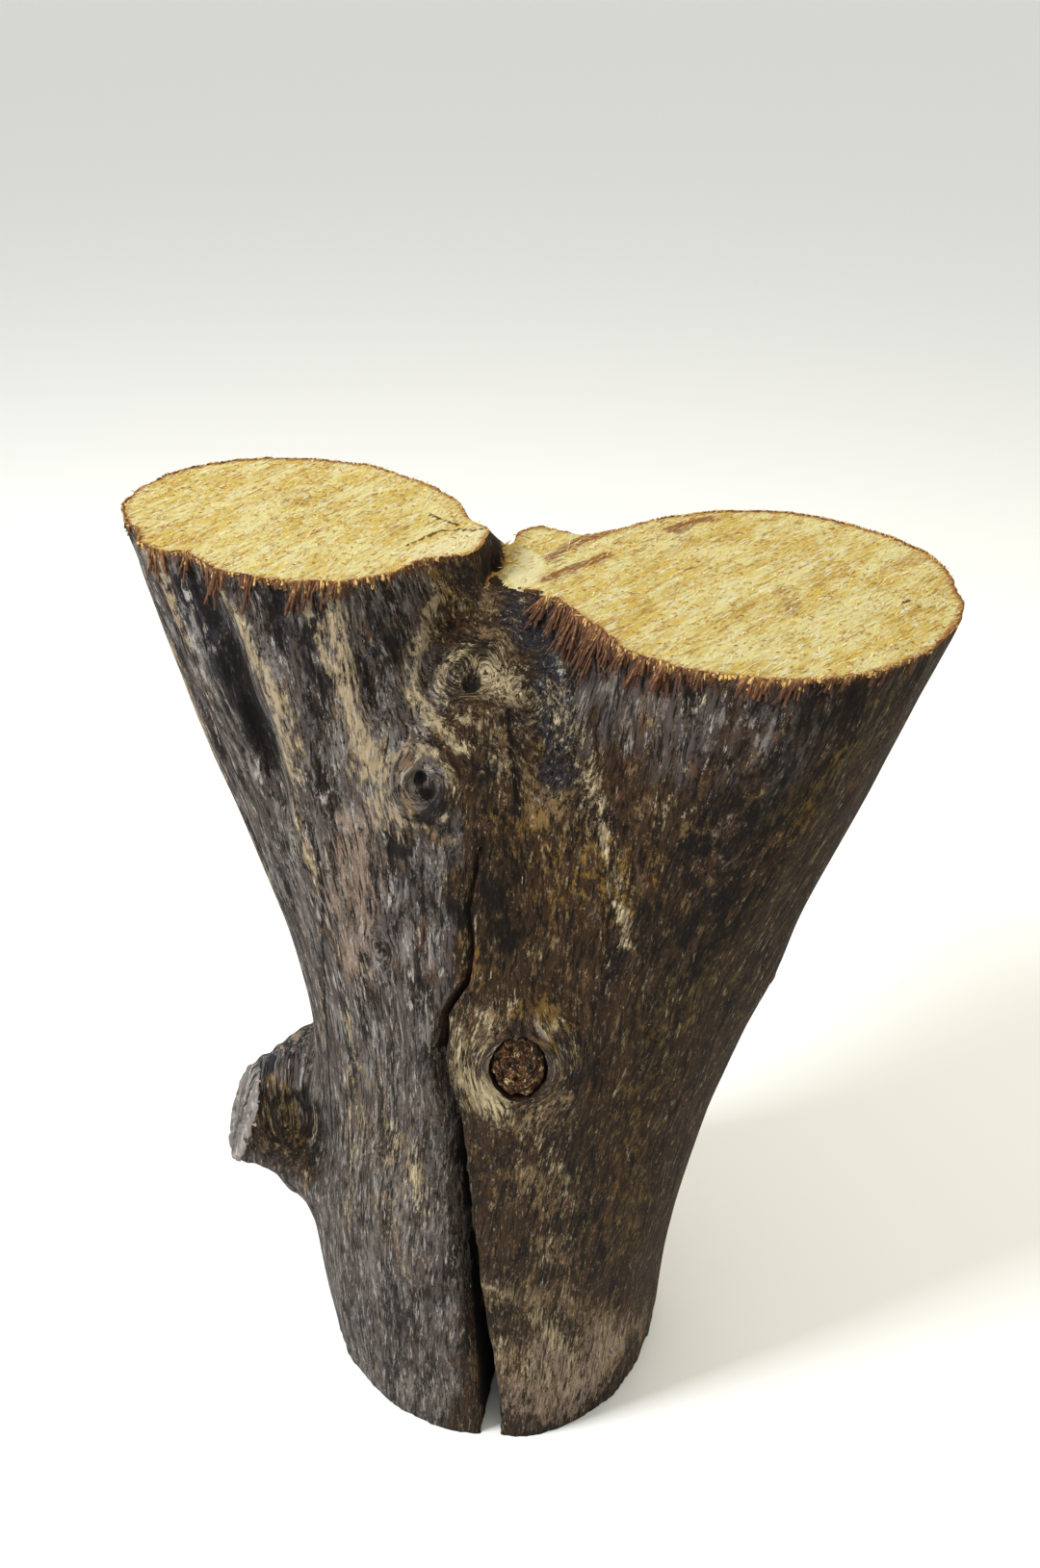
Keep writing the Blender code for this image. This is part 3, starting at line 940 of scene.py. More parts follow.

# Where the weathered skin takes a tone, given on the front and guessed on the back.
STROKES = (
    # Pale: wood worn bare on ridges, in rings round the knots and the whorl, and in scuffs.
    Stroke(
        Mask.PALE,
        ((-114, -42, 510), (-103, -46, 484), (-90, -49, 466), (-80, -52, 445), (-80, -53, 421)), 4.5, 0.8
    ),
    Stroke(Mask.PALE, ((-34, -88, 24), (-54, -80, 20)), 8, 0.5),
    Stroke(Mask.PALE, ((-78, -58, 294), (-82, -53, 255)), 3.5, 0.8),
    Stroke(Mask.PALE, ((96, 135, 340), (84, 129, 300), (74, 127, 280), (66, 123, 250)), 6, 0.8),
    Stroke(Mask.PALE, ((-70, 110, 380), (-78, 104, 350), (-66, 104, 325), (-54, 109, 340)), 5, 0.9),
    Stroke(Mask.PALE, ((-24, 111, 170), (-34, 110, 150), (-24, 112, 128)), 5, 0.7),
    Stroke(Mask.PALE, ((152, 76, 345), (158, 64, 352), (158, 50, 340), (152, 48, 322)), 5, 0.9),
    Stroke(Mask.PALE, ((-103, 74, 312), (-114, 62, 322), (-116, 48, 312), (-111, 48, 294)), 5, 0.9),
    Stroke(Mask.PALE, ((-90, -49, 435), (-86, -52, 404), (-73, -59, 369)), 5, 0.8),
    Stroke(Mask.PALE, ((-62, -36, 503), (-54, -46, 462), (-43, -51, 431)), 5, 0.8),
    Stroke(
        Mask.PALE,
        ((-27, 1, 488), (-35, -23, 480), (-33, -31, 468), (-20, -36, 454), (-1, -39, 445)), 4.5, 1.05
    ),
    Stroke(Mask.PALE, ((-13, -3, 478), (-21, -18, 469), (-18, -27, 463), (-3, -33, 455)), 3.2, 1.15),
    Stroke(Mask.PALE, ((-7, -13, 471), (4, -12, 469), (16, -17, 466)), 8, 1.2),
    Stroke(Mask.PALE, ((-37, 4, 511), (-28, 6, 501), (-17, 9, 493)), 3.5, 0.8),
    Stroke(Mask.PALE, ((6, -32, 453), (16, -41, 433)), 6, 0.8),
    Stroke(Mask.PALE, ((-23, -42, 443), (-10, -44, 441), (-5, -48, 428)), 3.5),
    Stroke(Mask.PALE, ((36, -13, 464), (48, -24, 449), (61, -39, 433), (67, -47, 411)), 7, 0.8),
    Stroke(Mask.PALE, ((75, -51, 397), (79, -54, 378), (83, -56, 361)), 4, 0.9),
    Stroke(Mask.PALE, ((94, -44, 438), (93, -47, 421)), 4, 0.7),
    Stroke(Mask.PALE, ((5, -81, 313), (8, -83, 294), (17, -84, 271), (34, -81, 265)), 6, 0.9),
    Stroke(Mask.PALE, ((16, -79, 318), (30, -74, 328)), 5, 0.8),
    Stroke(Mask.PALE, ((42, -78, 256), (54, -75, 224), (65, -72, 199)), 6, 0.7),
    Stroke(Mask.PALE, ((-28, -81, 230), (-22, -84, 210), (-15, -86, 188)), 8),
    Stroke(Mask.PALE, ((47, -80, 99), (59, -73, 79)), 4, 0.6),
    Stroke(Mask.PALE, ((44, -82, 62), (62, -70, 38), (80, -50, 44)), 9, 0.7),
    Stroke(Mask.PALE, ((10, -82, 302), (11, -84, 282), (28, -84, 262)), 9, 1.2),
    Stroke(Mask.PALE, ((18, -80, 314), (36, -75, 320), (54, -70, 312)), 6, 0.7),
    Stroke(Mask.PALE, ((-60, -68, 226), (-58, -72, 180), (-66, -66, 130)), 8, 0.7),
    Stroke(Mask.PALE, ((-86, -48, 96), (-78, -58, 50)), 9, 0.7),
    Stroke(Mask.PALE, ((-59, -67, 288), (-59, -68, 249)), 5, 0.8),
    Stroke(Mask.PALE, ((46, -82, 112), (58, -74, 84), (66, -68, 66)), 6, 1.1),
    Stroke(Mask.PALE, ((22, -88, 70), (30, -88, 90)), 5, 0.9),
    Stroke(Mask.PALE, ((-68, -62, 345), (-62, -65, 324)), 5, 0.6),
    # Tan: bare brown wood round the knots, by the stub and at the base.
    Stroke(Mask.TAN, ((20, -82, 310), (30, -86, 262), (58, -74, 258)), 12),
    Stroke(Mask.TAN, ((44, -82, 215), (58, -76, 180), (50, -82, 130)), 16, 0.9),
    Stroke(Mask.TAN, ((10, -24, 462), (26, -32, 446), (36, -38, 420)), 18, 0.8),
    Stroke(Mask.TAN, ((-56, -45, 466), (-46, -52, 430), (-56, -60, 386), (-58, -66, 330)), 16, 0.8),
    Stroke(Mask.TAN, ((-30, -60, 400), (-22, -52, 432)), 16, 0.7),
    Stroke(Mask.TAN, ((-118, -50, 190), (-108, -62, 150)), 14, 0.9),
    Stroke(Mask.TAN, ((-60, 99, 120), (-40, 104, 60)), 20),
    Stroke(Mask.TAN, ((120, 151, 440), (128, 139, 400), (118, 134, 370)), 18),
    Stroke(Mask.TAN, ((97, 70, 160), (98, 50, 90)), 20, 0.9),
    Stroke(Mask.TAN, ((-142, 50, 380), (-124, 56, 340)), 16, 0.9),
    Stroke(
        Mask.TAN,
        ((8, -83, 310), (6, -83, 290), (14, -84, 268), (36, -81, 262), (56, -74, 270), (58, -72, 300)), 7
    ),
    Stroke(Mask.TAN, ((-9, 20, 495), (3, 2, 484), (9, -9, 474)), 8),
    Stroke(Mask.TAN, ((-28, -41, 448), (-31, -49, 429), (-22, -55, 409), (-6, -57, 404)), 5),
    Stroke(Mask.TAN, ((-3, 8, 486), (10, -19, 466), (20, -38, 436)), 10, 0.9),
    Stroke(Mask.TAN, ((26, -88, 133), (61, -73, 118), (82, -51, 75), (95, -8, 30)), 16),
    Stroke(Mask.TAN, ((44, -81, 72), (67, -66, 42), (83, -47, 33)), 18),
    Stroke(Mask.TAN, ((30, -88, 64), (60, -76, 40), (84, -50, 60)), 24, 1.3),
    Stroke(Mask.TAN, ((-46, -78, 262), (-42, -82, 200), (-30, -86, 140)), 16, 0.9),
    # Rosy: a faint pink on the left trunk, below the right rim and at the base.
    Stroke(Mask.ROSY, ((-61, -62, 361), (-57, -65, 343), (-54, -67, 327)), 12),
    Stroke(Mask.ROSY, ((76, -34, 471), (82, -34, 482)), 10, 0.6),
    Stroke(Mask.ROSY, ((123, -39, 425), (118, -41, 410)), 12, 0.5),
    Stroke(Mask.ROSY, ((53, -76, 76), (69, -65, 48), (77, -58, 71)), 18),
    Stroke(Mask.ROSY, ((-30, -81, 227), (-34, -81, 212)), 9, 0.6),
    Stroke(Mask.ROSY, ((104, 80, 210), (96, 71, 160)), 14, 0.9),
    Stroke(Mask.ROSY, ((-53, -56, 401), (-50, -64, 359), (-46, -68, 339)), 12, 1.1),
    Stroke(Mask.ROSY, ((38, -86, 40), (68, -68, 24), (84, -48, 60)), 18, 1.2),
    # Ochre: rusty stains, most of them on the right limb.
    Stroke(Mask.OCHRE, ((25, -47, 412), (46, -47, 399), (75, -51, 394)), 22, 0.8),
    Stroke(Mask.OCHRE, ((34, -73, 323), (45, -68, 322), (53, -71, 304)), 11),
    Stroke(Mask.OCHRE, ((149, -23, 417), (159, -20, 445), (168, -13, 456)), 11),
    Stroke(Mask.OCHRE, ((93, -54, 270), (88, -56, 225), (88, -52, 148)), 24, 0.7),
    Stroke(Mask.OCHRE, ((92, -49, 409), (78, -50, 402), (79, -54, 381)), 9, 0.9),
    Stroke(Mask.OCHRE, ((-35, 5, 510), (-18, 10, 495)), 7, 0.9),
    Stroke(Mask.OCHRE, ((-14, 101, 430), (6, 118, 380), (14, 127, 330)), 16, 0.9),
    Stroke(Mask.OCHRE, ((140, 150, 470), (130, 145, 430)), 14, 0.9),
    Stroke(Mask.OCHRE, ((132, 20, 250), (118, 26, 190)), 18, 0.8),
    Stroke(Mask.OCHRE, ((-105, 40, 250), (-108, 20, 220)), 14, 0.9),
    Stroke(Mask.OCHRE, ((-121, -40, 207), (-109, -50, 196), (-99, -57, 171)), 6),
    Stroke(Mask.OCHRE, ((14, -71, 353), (17, -75, 338)), 6, 0.8),
    # Olive: a green cast on the right flank.
    Stroke(Mask.OLIVE, ((113, -42, 333), (103, -49, 305)), 18, 0.9),
    Stroke(Mask.OLIVE, ((176, 0, 470), (150, -14, 400), (124, -16, 340)), 14, 0.8),
    Stroke(Mask.OLIVE, ((98, -41, 174), (67, -71, 192)), 20, 0.7),
    Stroke(Mask.OLIVE, ((60, 99, 110), (34, 108, 70)), 20, 0.9),
    Stroke(Mask.OLIVE, ((147, 40, 300), (123, 60, 240)), 18, 0.8),
    Stroke(Mask.OLIVE, ((140, -32, 432), (164, -16, 449), (181, -4, 482)), 10),
    Stroke(Mask.OLIVE, ((110, -46, 366), (132, -19, 312)), 16, 0.6),
    # Slate: blue-grey streaks beside the whorl and down the left limb.
    Stroke(Mask.SLATE, ((-128, 113, 480), (-106, 111, 430), (-88, 108, 392)), 12),
    Stroke(Mask.SLATE, ((-181, 30, 470), (-162, 40, 420)), 10),
    Stroke(Mask.SLATE, ((-145, -34, 505), (-134, -38, 491), (-123, -41, 470)), 8, 1.2),
    Stroke(Mask.SLATE, ((9, 17, 493), (17, 10, 485)), 10, 1.2),
    Stroke(Mask.SLATE, ((28, 0, 478), (33, -16, 458), (38, -29, 434)), 6),
    Stroke(Mask.SLATE, ((-125, -13, 207), (-131, -31, 206)), 10, 1.1),
    Stroke(Mask.SLATE, ((-156, -31, 508), (-137, -37, 493), (-120, -39, 480)), 9, 1.1),
    Stroke(Mask.SLATE, ((18, 31, 500), (31, -6, 472), (41, -29, 435)), 8, 1.1),
    # Shade and dark stain: painted shade in the hollows, the pits and the crotch, under the stub and down the
    # shadowed side of the right limb, and dark damp-looking streaks.
    Stroke(Mask.DARK, ((-93, -43, 508), (-72, -40, 494), (-62, -43, 477)), 17),
    Stroke(Mask.DARK, ((-44, -20, 505), (-39, -28, 483)), 13),
    Stroke(Mask.DARK, ((-15, 19, 504), (-17, 49, 504)), 12),
    # Painted shade: the shadowed side of the right limb.
    Stroke(Mask.DARK, ((161, -24, 490), (137, -31, 415), (112, -45, 372)), 40, 0.9),
    Stroke(Mask.DARK, ((-111, -44, 446), (-101, -45, 423)), 7, 1.4),
    Stroke(Mask.DARK, ((-133, -35, 506), (-118, -39, 480)), 6, 1.4),
    Stroke(Mask.DARK, ((-94, -57, 171), (-88, -51, 195)), 13),
    Stroke(Mask.DARK, ((-16, -48, 424), (-12, -53, 418)), 8, 1.2),
    Stroke(Mask.DARK, ((15, -59, 392), (22, -68, 360)), 9, 0.9),
    Stroke(Mask.DARK, ((-5, -32, 457), (-7, -41, 444)), 8, 0.8),
    Stroke(Mask.DARK, ((-8, -14, 474), (-6, -17, 467)), 3.5, 1.3),
    Stroke(Mask.DARK, ((65, -70, 245), (77, -65, 156)), 22, 0.7),
    Stroke(Mask.DARK, ((40, 135, 440), (34, 136, 380), (40, 137, 330)), 18, 0.9),
    Stroke(Mask.DARK, ((178, 90, 420), (156, 80, 360)), 18, 0.8),
    Stroke(Mask.DARK, ((-80, 80, 240), (-93, 70, 180)), 16, 0.9),
    Stroke(Mask.DARK, ((-29, -58, 392), (-15, -64, 381), (5, -68, 365)), 20, 0.9),
    Stroke(Mask.DARK, ((13, -41, 437), (18, -54, 403), (25, -69, 353)), 14, 0.9),
    Stroke(Mask.DARK, ((103, -46, 400), (121, -38, 356)), 14, 0.9),
    Stroke(Mask.DARK, ((-116, -50, 196), (-108, -56, 165)), 12),
    Stroke(Mask.DARK, ((-30, -86, 120), (-24, -88, 60)), 12, 0.8),
    Stroke(Mask.DARK, ((-70, -62, 110), (-60, -70, 60)), 9, 0.7),
    Stroke(Mask.DARK, ((-100, -45, 201), (-96, -51, 182)), 8, 1.2),
)

# Brown stains and tears on the sawn tops.
STAINS = (
    Stroke(Mask.DARK, ((13, 38, 500), (23, 53, 500), (36, 76, 500)), 5),
    Stroke(Mask.DARK, ((10, 62, 500), (16, 87, 500), (27, 102, 500)), 6),
    Stroke(Mask.DARK, ((37, 88, 500), (58, 108, 500)), 5, 0.6),
    Stroke(Mask.DARK, ((61, 118, 500), (68, 131, 500), (76, 138, 500)), 7, 1.1),
    Stroke(Mask.DARK, ((126, 61, 500), (134, 35, 500)), 7, 0.7),
    Stroke(Mask.DARK, ((-125, 50, 514), (-109, 56, 514)), 10, 0.7),
)

# The pale tongues of the two tops.
TONGUES = (
    Stroke(Mask.PALE, ((-39, 13, 514), (-31, 34, 514), (-22, 50, 514)), 11),
    Stroke(Mask.PALE, ((-4, 64, 500), (4, 50, 500), (4, 34, 500)), 10),
)

# Splits in the sawn tops, seen from above.
SPLITS = (
    ((-51, 20, 0), (-46, 35, 0), (-42, 45, 0), (-36, 49, 0), (-24, 56, 0)),
    ((-55, 64, 0), (-46, 60, 0), (-36, 56, 0)),
    ((178, 65, 0), (190, 60, 0), (203, 59, 0)),
)


@dataclass(frozen=True)
class Grain:
    """The way that the grain runs: along both stems, and round the knots.

    sides holds the log's left, right, front and back at each height, in between which the grain fans out.
    wander holds the cells across and along, and the size, of the noises that keep it from running straight.
    """

    left: Stem
    right: Stem
    knots: tuple[Knot, ...]
    sides: tuple[tuple[float, float, float, float, float], ...] = (
        (0, -107, 96, -91, 109), (120, -110, 107, -91, 116), (230, -108, 127, -86, 126),
        (290, -116, 146, -84, 135), (340, -134, 161, -78, 141), (380, -150, 175, -68, 147),
        (420, -166, 187, -58, 151), (460, -182, 199, -51, 156), (520, -202, 214, -45, 161),
    )
    shared: tuple[float, float] = (-40, 30)
    breadth: float = 235
    thickness: float = 205
    core: float = 0.6
    wander: Noises = ((38, 90, 2.6), (11, 38, 1.1))
    whorl: Point = (2, -20, 455)
    whorl_reach: float = 46
    whorl_cell: float = 15
    whorl_swirl: float = 6

    def outward(self, points: Array) -> tuple[Array, Array]:
        """Finds the way out from the pith.

        Args:
            points: Points in millimetres.

        Returns:
            The level way out at each point, and how far the pith is.
        """
        side = smooth_step(points[:, 0], *self.shared)[:, None]
        heights = points[:, 2]
        pith = self.left.pith(heights) * (1 - side) + self.right.pith(heights) * side
        level = points[:, :2] - pith
        away = np.concatenate([unit(level), np.zeros((len(points), 1))], axis=1)
        return away, np.linalg.norm(level, axis=1)

    def coordinates(self, points: Array) -> Array:
        """Coordinates in which the grain is straight: it fans out from the foot to both limbs.

        Args:
            points: Points in millimetres.

        Returns:
            Each point across the front, from front to back, and along the grain, in millimetres.
        """
        moved = points.copy()
        for knot in self.knots:
            gap = points - np.array(knot.place)
            facing, _ = self.outward(np.array([knot.place], float))
            sideways = np.array([-facing[0, 1], facing[0, 0], 0])
            distance = np.linalg.norm(gap, axis=1)
            pull = knot.radius**2 / np.maximum(distance, self.core * knot.radius) ** 2
            moved -= ((gap @ sideways) * pull * bell(distance, knot.reach))[:, None] * sideways
        whorl = bell(np.linalg.norm(points - np.array(self.whorl), axis=1), self.whorl_reach)
        for axis in range(2):
            for cell, along, amount in self.wander:
                moved[:, axis] += amount * soft_noise(points / (cell, cell, along), Seed.WANDER + axis)
            swirl = soft_noise(points / self.whorl_cell, Seed.WHORL + axis)
            moved[:, axis] += self.whorl_swirl * whorl * swirl
        height, *sides = np.array(self.sides).T
        left, right, front, back = (np.interp(points[:, 2], height, side) for side in sides)
        across = (moved[:, 0] - (left + right) / 2) / (right - left) * self.breadth
        deep = (moved[:, 1] - (front + back) / 2) / (back - front) * self.thickness
        return np.stack([across, deep, points[:, 2]], axis=1)


@dataclass(frozen=True)
class Relief:
    """How far the weathered surface stands out from the smooth one, in millimetres.

    flutes holds the cells across and along, and the height, of each size of ridge. They are boldest on the
    left limb and fade towards the foot.
    """

    grain: Grain
    flutes: Noises = ((13, 150, 0.9), (6.5, 90, 0.6), (3.6, 50, 0.32))
    boldness: float = 0.75
    left_boldness: float = 1.3
    left_limb: tuple[float, float] = (60, 130)
    foot_share: float = 0.5
    foot_fade: tuple[float, float] = (-40, 200)
    knot_ring: float = 7
    knot_reach: float = 2.2
    knot_height: float = 0.35

    def height(self, points: Array) -> Array:
        """The relief at each point.

        Args:
            points: Points in millimetres.

        Returns:
            How far the surface stands out, less than 0 in a hollow.
        """
        along_grain = self.grain.coordinates(points)
        strength = self.boldness + self.left_boldness * smooth_step(-points[:, 0], *self.left_limb)
        strength *= smooth_step(points[:, 2], *self.foot_fade) * (1 - self.foot_share) + self.foot_share
        total = np.zeros(len(points))
        for number, (across, along, amount) in enumerate(self.flutes):
            total += amount * soft_noise(along_grain / (across, across, along), Seed.FLUTES + number)
        total *= strength
        for groove in GROOVES:
            total -= groove.depth * bell(path_distance(points, groove.path), groove.width)
        for knot in KNOTS:
            distance = np.linalg.norm(points - np.array(knot.place), axis=1)
            rings = np.cos(distance / knot.radius * self.knot_ring)
            rings = rings * bell(distance, knot.radius * self.knot_reach)
            total += knot.rise * self.knot_height * rings
        return total


@dataclass(frozen=True)
class Crack:
    """The long drying crack, as (x, y, height, width, depth) at its stations up the trunk.

    It follows the solid's crack, a little wider, with torn edges. torn_cells holds the sizes of the tears,
    and how large each is.
    """

    grain: Grain
    stations: tuple[tuple[float, float, float, float, float], ...] = (
        (22, -89, -30, 11.0, 74), (21, -88, 20, 10.5, 74), (18, -89, 65, 9.5, 72), (14, -89, 106, 8.2, 68),
        (10, -87, 143, 7.2, 64), (6, -85, 177, 6.4, 60), (3, -85, 213, 5.8, 54), (3, -86, 240, 5.6, 50),
        (-3, -85, 273, 5.4, 44), (-6, -83, 292, 5.0, 38), (-2, -79, 316, 4.0, 32), (9, -73, 335, 3.2, 26),
        (11, -69, 353, 2.6, 20), (8, -64, 372, 2.0, 14), (11, -54, 402, 1.6, 6),
    )
    foot: float = -3
    top: float = 402
    step: float = 2.4
    mouth_reach: float = 16
    widened: float = 0.35
    root_half: float = 0.5
    least_half: float = 0.25
    samples: int = 15
    crowding: float = 1.3
    torn: float = 0.3
    torn_half: float = 3
    torn_cells: tuple[tuple[Point, float], ...] = (((14, 14, 16), 1.0), ((5, 5, 3.4), 0.4))
    fine_seed: int = 5
    wall_slack: float = 0.78
    root_slack: float = 2
    top_slack: float = 1
    front: float = 12
    far: float = 1e3

    def frame_at(self, heights: Array) -> tuple[Array, Array, Array, Array, Array]:
        """Finds the crack at each height.

        Args:
            heights: The heights.

        Returns:
            The crack's mouth, the way out, the way across, its half width and its depth.
        """
        x, y, height, width, depth = np.array(self.stations).T
        mouth = np.stack([np.interp(heights, height, x), np.interp(heights, height, y), heights], axis=1)
        level = mouth[:, :2] - self.grain.right.pith(heights)
        out = np.concatenate([unit(level), np.zeros((len(heights), 1))], axis=1)
        across = np.stack([out[:, 1], -out[:, 0], np.zeros(len(heights))], axis=1)
        return mouth, out, across, np.interp(heights, height, width) / 2, np.interp(heights, height, depth)

    def half_at(self, half: Array, depth: Array, deep: Array) -> Array:
        """Half the crack's width where it is so deep, from its half width at the mouth."""
        return (half + self.widened) * (1 - deep / depth) + self.root_half * deep / depth

    def cutter(self) -> bpy.types.Object:
        """Builds the gap as a solid, its walls uneven as torn wood is.

        Returns:
            The solid, open well in front of the mouth.
        """
        heights = np.arange(self.foot, self.top + self.step, self.step)
        mouth, out, across, half, depth = self.frame_at(heights)
        shares = np.linspace(0, 1, self.samples) ** self.crowding
        depths = [np.full(len(heights), -self.mouth_reach), *(share * depth for share in shares)]
        walls = []
        for side, seed in ((-1, Seed.CRACK_LEFT), (1, Seed.CRACK_RIGHT)):
            wall = []
            for deep in depths:
                place = mouth - out * deep[:, None]
                torn = np.zeros(len(heights))
                for number, (cell, amount) in enumerate(self.torn_cells):
                    uneven = soft_noise(place / cell, seed + number * self.fine_seed)
                    torn += amount * self.torn * np.minimum(1, half / self.torn_half) * uneven
                offset = np.maximum(self.half_at(half, depth, deep) + torn, self.least_half)
                wall.append(place + across * (side * offset)[:, None])
            walls.append(wall)
        loop = walls[0] + walls[1][::-1]
        rows, around = len(heights), len(loop)
        faces = []
        for turn, row in itertools.product(range(around), range(rows - 1)):
            here, there = turn * rows, (turn + 1) % around * rows
            faces.append((here + row, there + row, there + row + 1, here + row + 1))
        faces.append([turn * rows for turn in range(around)])
        faces.append([turn * rows + rows - 1 for turn in range(around)])
        return mesh_object("crack_gap", np.concatenate(loop), faces)

    def lip_distance(self, points: Array) -> Array:
        """Measures how near each point is to the crack's mouth.

        Args:
            points: Points in millimetres.

        Returns:
            How far the nearest edge of the mouth is, and a long way for a point behind the log's front.
        """
        mouth, out, across, half, _ = self.frame_at(points[:, 2])
        gap = points - mouth
        sideways = np.abs(dots(gap, across)) - half
        above = np.maximum(points[:, 2] - self.top, 0)
        return np.where(dots(gap, out) > -self.front, np.hypot(np.maximum(sideways, 0), above), self.far)

    def wall_depth(self, points: Array) -> Array:
        """Measures how deep in the crack each point lies.

        Args:
            points: Points in millimetres.

        Returns:
            The depth of each point on the crack's walls, and less than 0 for the others.
        """
        mouth, out, across, half, depth = self.frame_at(points[:, 2])
        gap = points - mouth
        deep = -dots(gap, out)
        limit = self.half_at(half, depth, np.clip(deep, 0, depth)) + self.wall_slack
        inside = (np.abs(dots(gap, across)) < limit) & (deep < depth + self.root_slack)
        return np.where(inside & (points[:, 2] < self.top + self.top_slack), deep, -1)


@dataclass(frozen=True)
class DeadKnot:
    """The end of a dead branch in the trunk, in the pocket that dried open round it.

    uneven holds how often its edge goes in and out, and how far. rough holds the cells and the heights of
    what is broken on its face. walls holds the depths of the rows down its side.
    """

    place: Point = (36, -77, 289)
    facing: Point = (0.30, -0.94, 0.13)
    radius: float = 13.6
    gap: float = 1.0
    stretch: float = 1.33
    pocket_depth: float = 8
    pocket_reach: float = 14.0
    sunk: float = 1.2
    sides: int = 96
    rings: int = 34
    middle: float = 0.02
    uneven: tuple[tuple[float, float], ...] = ((1.6, 0.7), (6, 0.35))
    rough: tuple[tuple[float, float], ...] = ((4.2, 2.0), (1.9, 1.2))
    ring_height: float = 0.35
    ring_turns: float = 34
    worn_edge: tuple[float, float] = (0.86, 1.0)
    worn: float = 1.6
    walls: tuple[float, ...] = (3.6, 6.1)
    bedded: float = 1.2
    dark_rim: float = 0.8

    def matrix(self) -> Matrix:
        """Takes the knot's own frame, +Z outwards, to the log's, in millimetres."""
        turn = Vector(self.facing).to_track_quat("Z", "Y").to_matrix().to_4x4()
        return Matrix.Translation(self.place) @ turn @ Matrix.Diagonal((1, self.stretch, 1, 1))

    def placed(self, points: Array) -> Array:
        """Points of the knot's own frame in the log's."""
        matrix = np.array(self.matrix())
        return points @ matrix[:3, :3].T + matrix[:3, 3]

    def local(self, points: Array) -> Array:
        """Points of the log in the knot's own frame."""
        matrix = np.array(self.matrix().inverted())
        return points @ matrix[:3, :3].T + matrix[:3, 3]

    def circle(self) -> Array:
        """Points all round a circle of radius 1."""
        turn = np.arange(self.sides) / self.sides * math.tau
        return np.stack([np.cos(turn), np.sin(turn), np.zeros(self.sides)], axis=1)

    def outline(self, seed: int) -> Array:
        """How far the knot's edge departs from an ellipse at each side.

        Args:
            seed: Picks the noise.

        Returns:
            One distance for each side.
        """
        return sum(
            height * soft_noise(self.circle() * often, seed + number)
            for number, (often, height) in enumerate(self.uneven)
        )

    def pocket(self) -> bpy.types.Object:
        """Builds the pocket as a solid.

        Returns:
            The solid, open well above the surface.
        """
        edge = self.circle() * (self.radius + self.gap + self.outline(Seed.POCKET))[:, None]
        rows = [edge + (0, 0, height) for height in (self.pocket_reach, -self.pocket_depth)]
        faces = [
            (side, (side + 1) % self.sides, (side + 1) % self.sides + self.sides, side + self.sides)
            for side in range(self.sides)
        ]
        faces.append(list(range(self.sides)))
        faces.append(list(range(self.sides, 2 * self.sides)))
        return mesh_object("pocket", self.placed(np.concatenate(rows)), faces)

    def build(self) -> bpy.types.Object:
        """Builds the branch end, rough across and open to the pocket round it.

        Returns:
            The branch end as a closed mesh.
        """
        circle = self.circle()
        edge = self.radius + self.outline(Seed.BRANCH_EDGE)
        rows = []
        for share in np.linspace(self.middle, 1, self.rings):
            ring = circle * (edge * share)[:, None]
            rough = sum(
                height * soft_noise(ring / cell, Seed.BRANCH_END + number)
                for number, (cell, height) in enumerate(self.rough)
            )
            ringed = self.ring_height * math.cos(share * self.ring_turns) * share
            worn = self.worn * smooth_step(np.full(self.sides, share), *self.worn_edge)
            ring[:, 2] = -self.sunk + rough + ringed - worn
            rows.append(ring)
        for depth in (*self.walls, self.pocket_depth + self.bedded):
            ring = rows[self.rings - 1].copy()
            ring[:, 2] = -depth
            rows.append(ring)
        flat = np.concatenate(rows)
        faces = []
        for row, side in itertools.product(range(len(rows) - 1), range(self.sides)):
            low, turned = row * self.sides, (side + 1) % self.sides
            faces.append((low + side, low + turned, low + self.sides + turned, low + self.sides + side))
        faces.append(list(range(self.sides)))
        faces.append([(len(rows) - 1) * self.sides + side for side in range(self.sides)])
        made = mesh_object("dead_knot", self.placed(flat), faces)
        radius = np.linalg.norm(flat[:, :2], axis=1)
        store(made.data, Chart.RADIAL, flat + np.outer(radius, (0, 0, 1)))
        store(made.data, Mask.RIM, smooth_step(radius, self.radius * self.dark_rim, self.radius))
        made.data.materials.append(DEAD_WOOD.made())
        made.data.shade_smooth()
        return made


class Face(Enum):
    """The kinds of surface on the log's body, in the order of their material slots."""

    SKIN = 0
    SAWN = 1
    FOOT = 2
    STUB_END = 3
    WALL = 4


